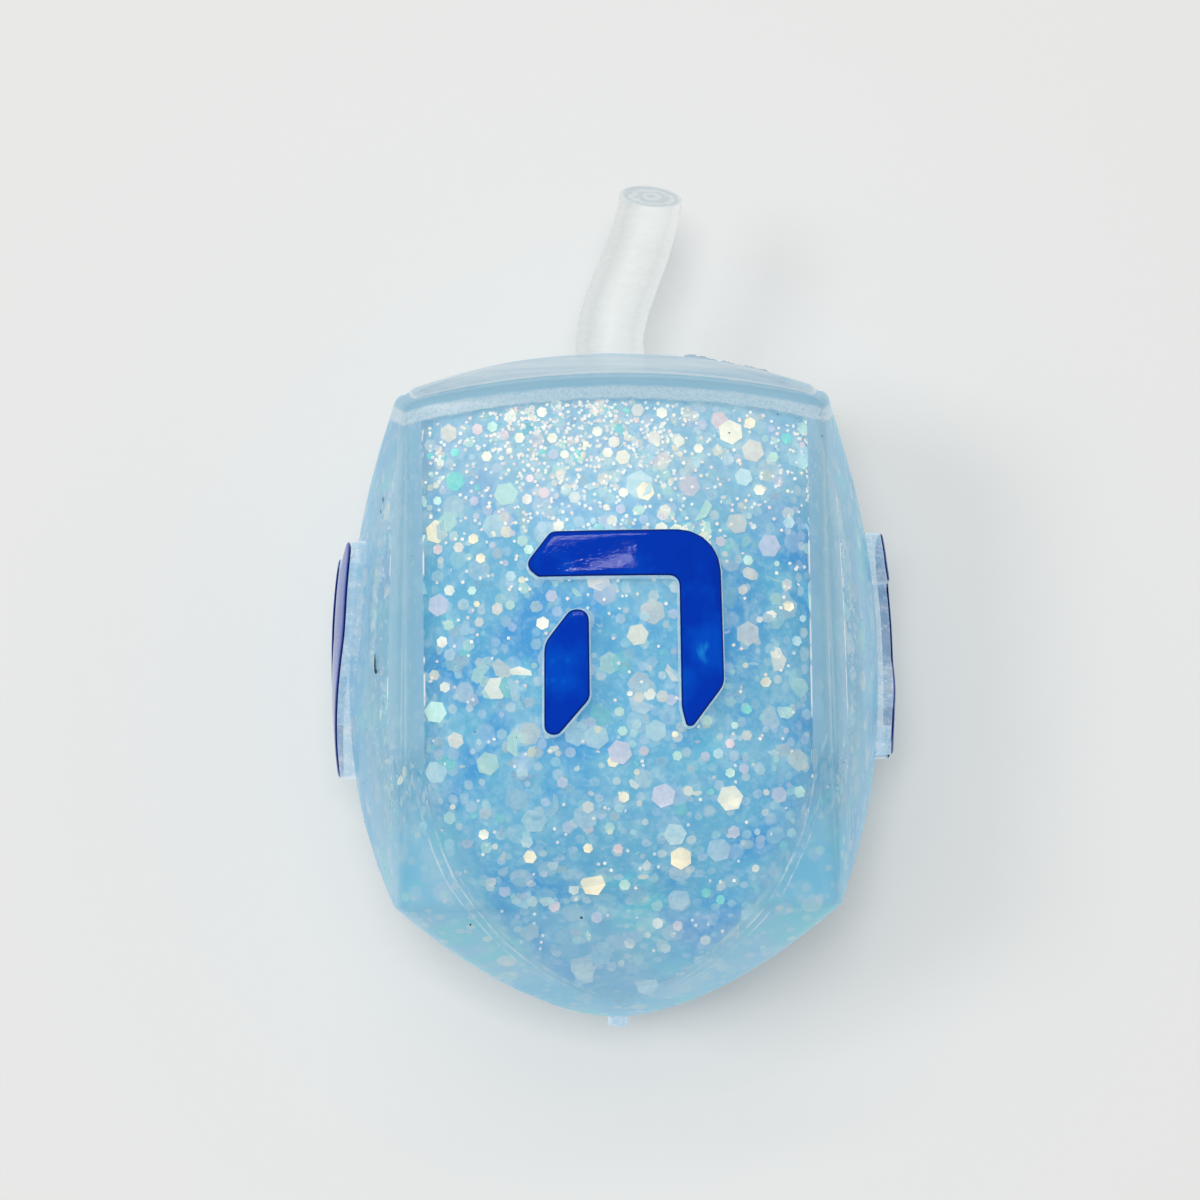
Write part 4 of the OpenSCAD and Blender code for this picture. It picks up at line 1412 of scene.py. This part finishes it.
class DREIDEL_OT_stage(bpy.types.Operator):
    """Adds the floor, the soft lights and the camera"""
    bl_idname = "dreidel.stage"
    bl_label = "Stage"

    def execute(self, context):
        scene = context.scene
        c = settings().colours
        nothing_selected()
        bpy.ops.mesh.primitive_plane_add(size=3.0, location=(0, 0, 0))
        floor = named("floor")
        f = Finish("pale_floor")
        matt = f.surface(Base_Color=c.floor, Roughness=0.9, Specular_IOR_Level=0.1)
        floor.data.materials.append(f.done(matt))
        scene.world = bpy.data.worlds.new("studio")
        w = Finish(world=scene.world)
        white = (1, 1, 1, 1)
        lit = w.blend(w.ray("Is Glossy Ray"), w.backdrop(white, WORLD_ON_MATT),
                      w.backdrop(white, WORLD_IN_GLOSS))
        both = w.blend(w.ray("Is Camera Ray"), lit, w.backdrop(c.floor, 1.0))
        w.node("ShaderNodeOutputWorld", None, {0: both})
        for lamp in LAMPS:
            self.lamp(*lamp)
        away = Vector([math.sin(lean) for lean in CAMERA_LEANS] + [0])
        away.z = math.sqrt(1 - away.length_squared)
        place = CAMERA_AIM + away * CAMERA_AWAY
        bpy.ops.object.camera_add(location=place)
        camera = context.object
        camera.name = "camera"
        across = Vector((0, 1, 0)).cross(away).normalized()
        turn = Matrix((across, away.cross(across), away)).transposed().to_4x4()
        camera.matrix_world = Matrix.Translation(place) @ turn @ Matrix.Rotation(CAMERA_ROLL, 4, "Z")
        camera.data.lens = CAMERA_LENS
        camera.data.sensor_width = 36
        camera.data.clip_start = 0.01
        scene.camera = camera
        scene.view_settings.view_transform = "Standard"
        return {"FINISHED"}

    def lamp(self, name, place, size, share, shines):
        """Adds a soft lamp that gives the floor a share of its light, and is mirrored only if it shines."""
        bpy.ops.object.light_add(type="AREA", location=place)
        lamp = bpy.context.object
        lamp.name = name
        lamp.data.shape = "RECTANGLE"
        lamp.data.size, lamp.data.size_y = size
        way = Vector(place) - LIT_POINT
        lamp.data.energy = share * math.pi ** 2 * way.length ** 3 / way.z
        lamp.rotation_euler = way.to_track_quat("Z", "Y").to_euler()
        lamp.visible_glossy = shines


class Dreidel(bpy.types.PropertyGroup):
    body: bpy.props.PointerProperty(type=BodySizes, name="Body", description="Sizes of the body")
    letters: bpy.props.PointerProperty(type=LetterSizes, name="Letters", description="Sizes of the letters")
    stem: bpy.props.PointerProperty(type=StemSizes, name="Stem", description="Sizes of the stem")
    glitter: bpy.props.PointerProperty(type=GlitterSettings, name="Glitter",
                                       description="Sizes and counts of the flakes")
    colours: bpy.props.PointerProperty(type=Colours, name="Colours", description="Colours of the finishes")


STEPS = (DREIDEL_OT_stage, DREIDEL_OT_skin, DREIDEL_OT_liquid, DREIDEL_OT_glitter, DREIDEL_OT_letters,
         DREIDEL_OT_stem, DREIDEL_OT_seams, DREIDEL_OT_specks)


class DREIDEL_PT_panel(bpy.types.Panel):
    """Lists the dreidel's pieces and their sizes"""
    bl_idname = "DREIDEL_PT_panel"
    bl_label = "Dreidel"
    bl_space_type = "VIEW_3D"
    bl_region_type = "UI"
    bl_category = "Dreidel"

    def draw(self, context):
        for step in STEPS:
            self.layout.operator(step.bl_idname)
        for group in ("body", "letters", "stem", "glitter", "colours"):
            box = self.layout.box()
            box.label(text=group.capitalize())
            part = getattr(context.scene.dreidel, group)
            for key in part.__annotations__:
                box.prop(part, key)


SETTINGS = (BodySizes, LetterSizes, StemSizes, GlitterSettings, Colours, Dreidel)
CLASSES = SETTINGS + STEPS + (DREIDEL_PT_panel,)


def register():
    for each in CLASSES:
        bpy.utils.register_class(each)
    bpy.types.Scene.dreidel = bpy.props.PointerProperty(type=Dreidel)


def unregister():
    del bpy.types.Scene.dreidel
    for each in reversed(CLASSES):
        bpy.utils.unregister_class(each)


def main():
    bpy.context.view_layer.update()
    register()
    bpy.ops.dreidel.stage()
    bpy.ops.dreidel.skin()
    bpy.ops.dreidel.liquid()
    bpy.ops.dreidel.glitter()
    bpy.ops.dreidel.letters()
    bpy.ops.dreidel.stem()
    bpy.ops.dreidel.seams()
    bpy.ops.dreidel.specks()


if __name__ == "__main__":
    main()
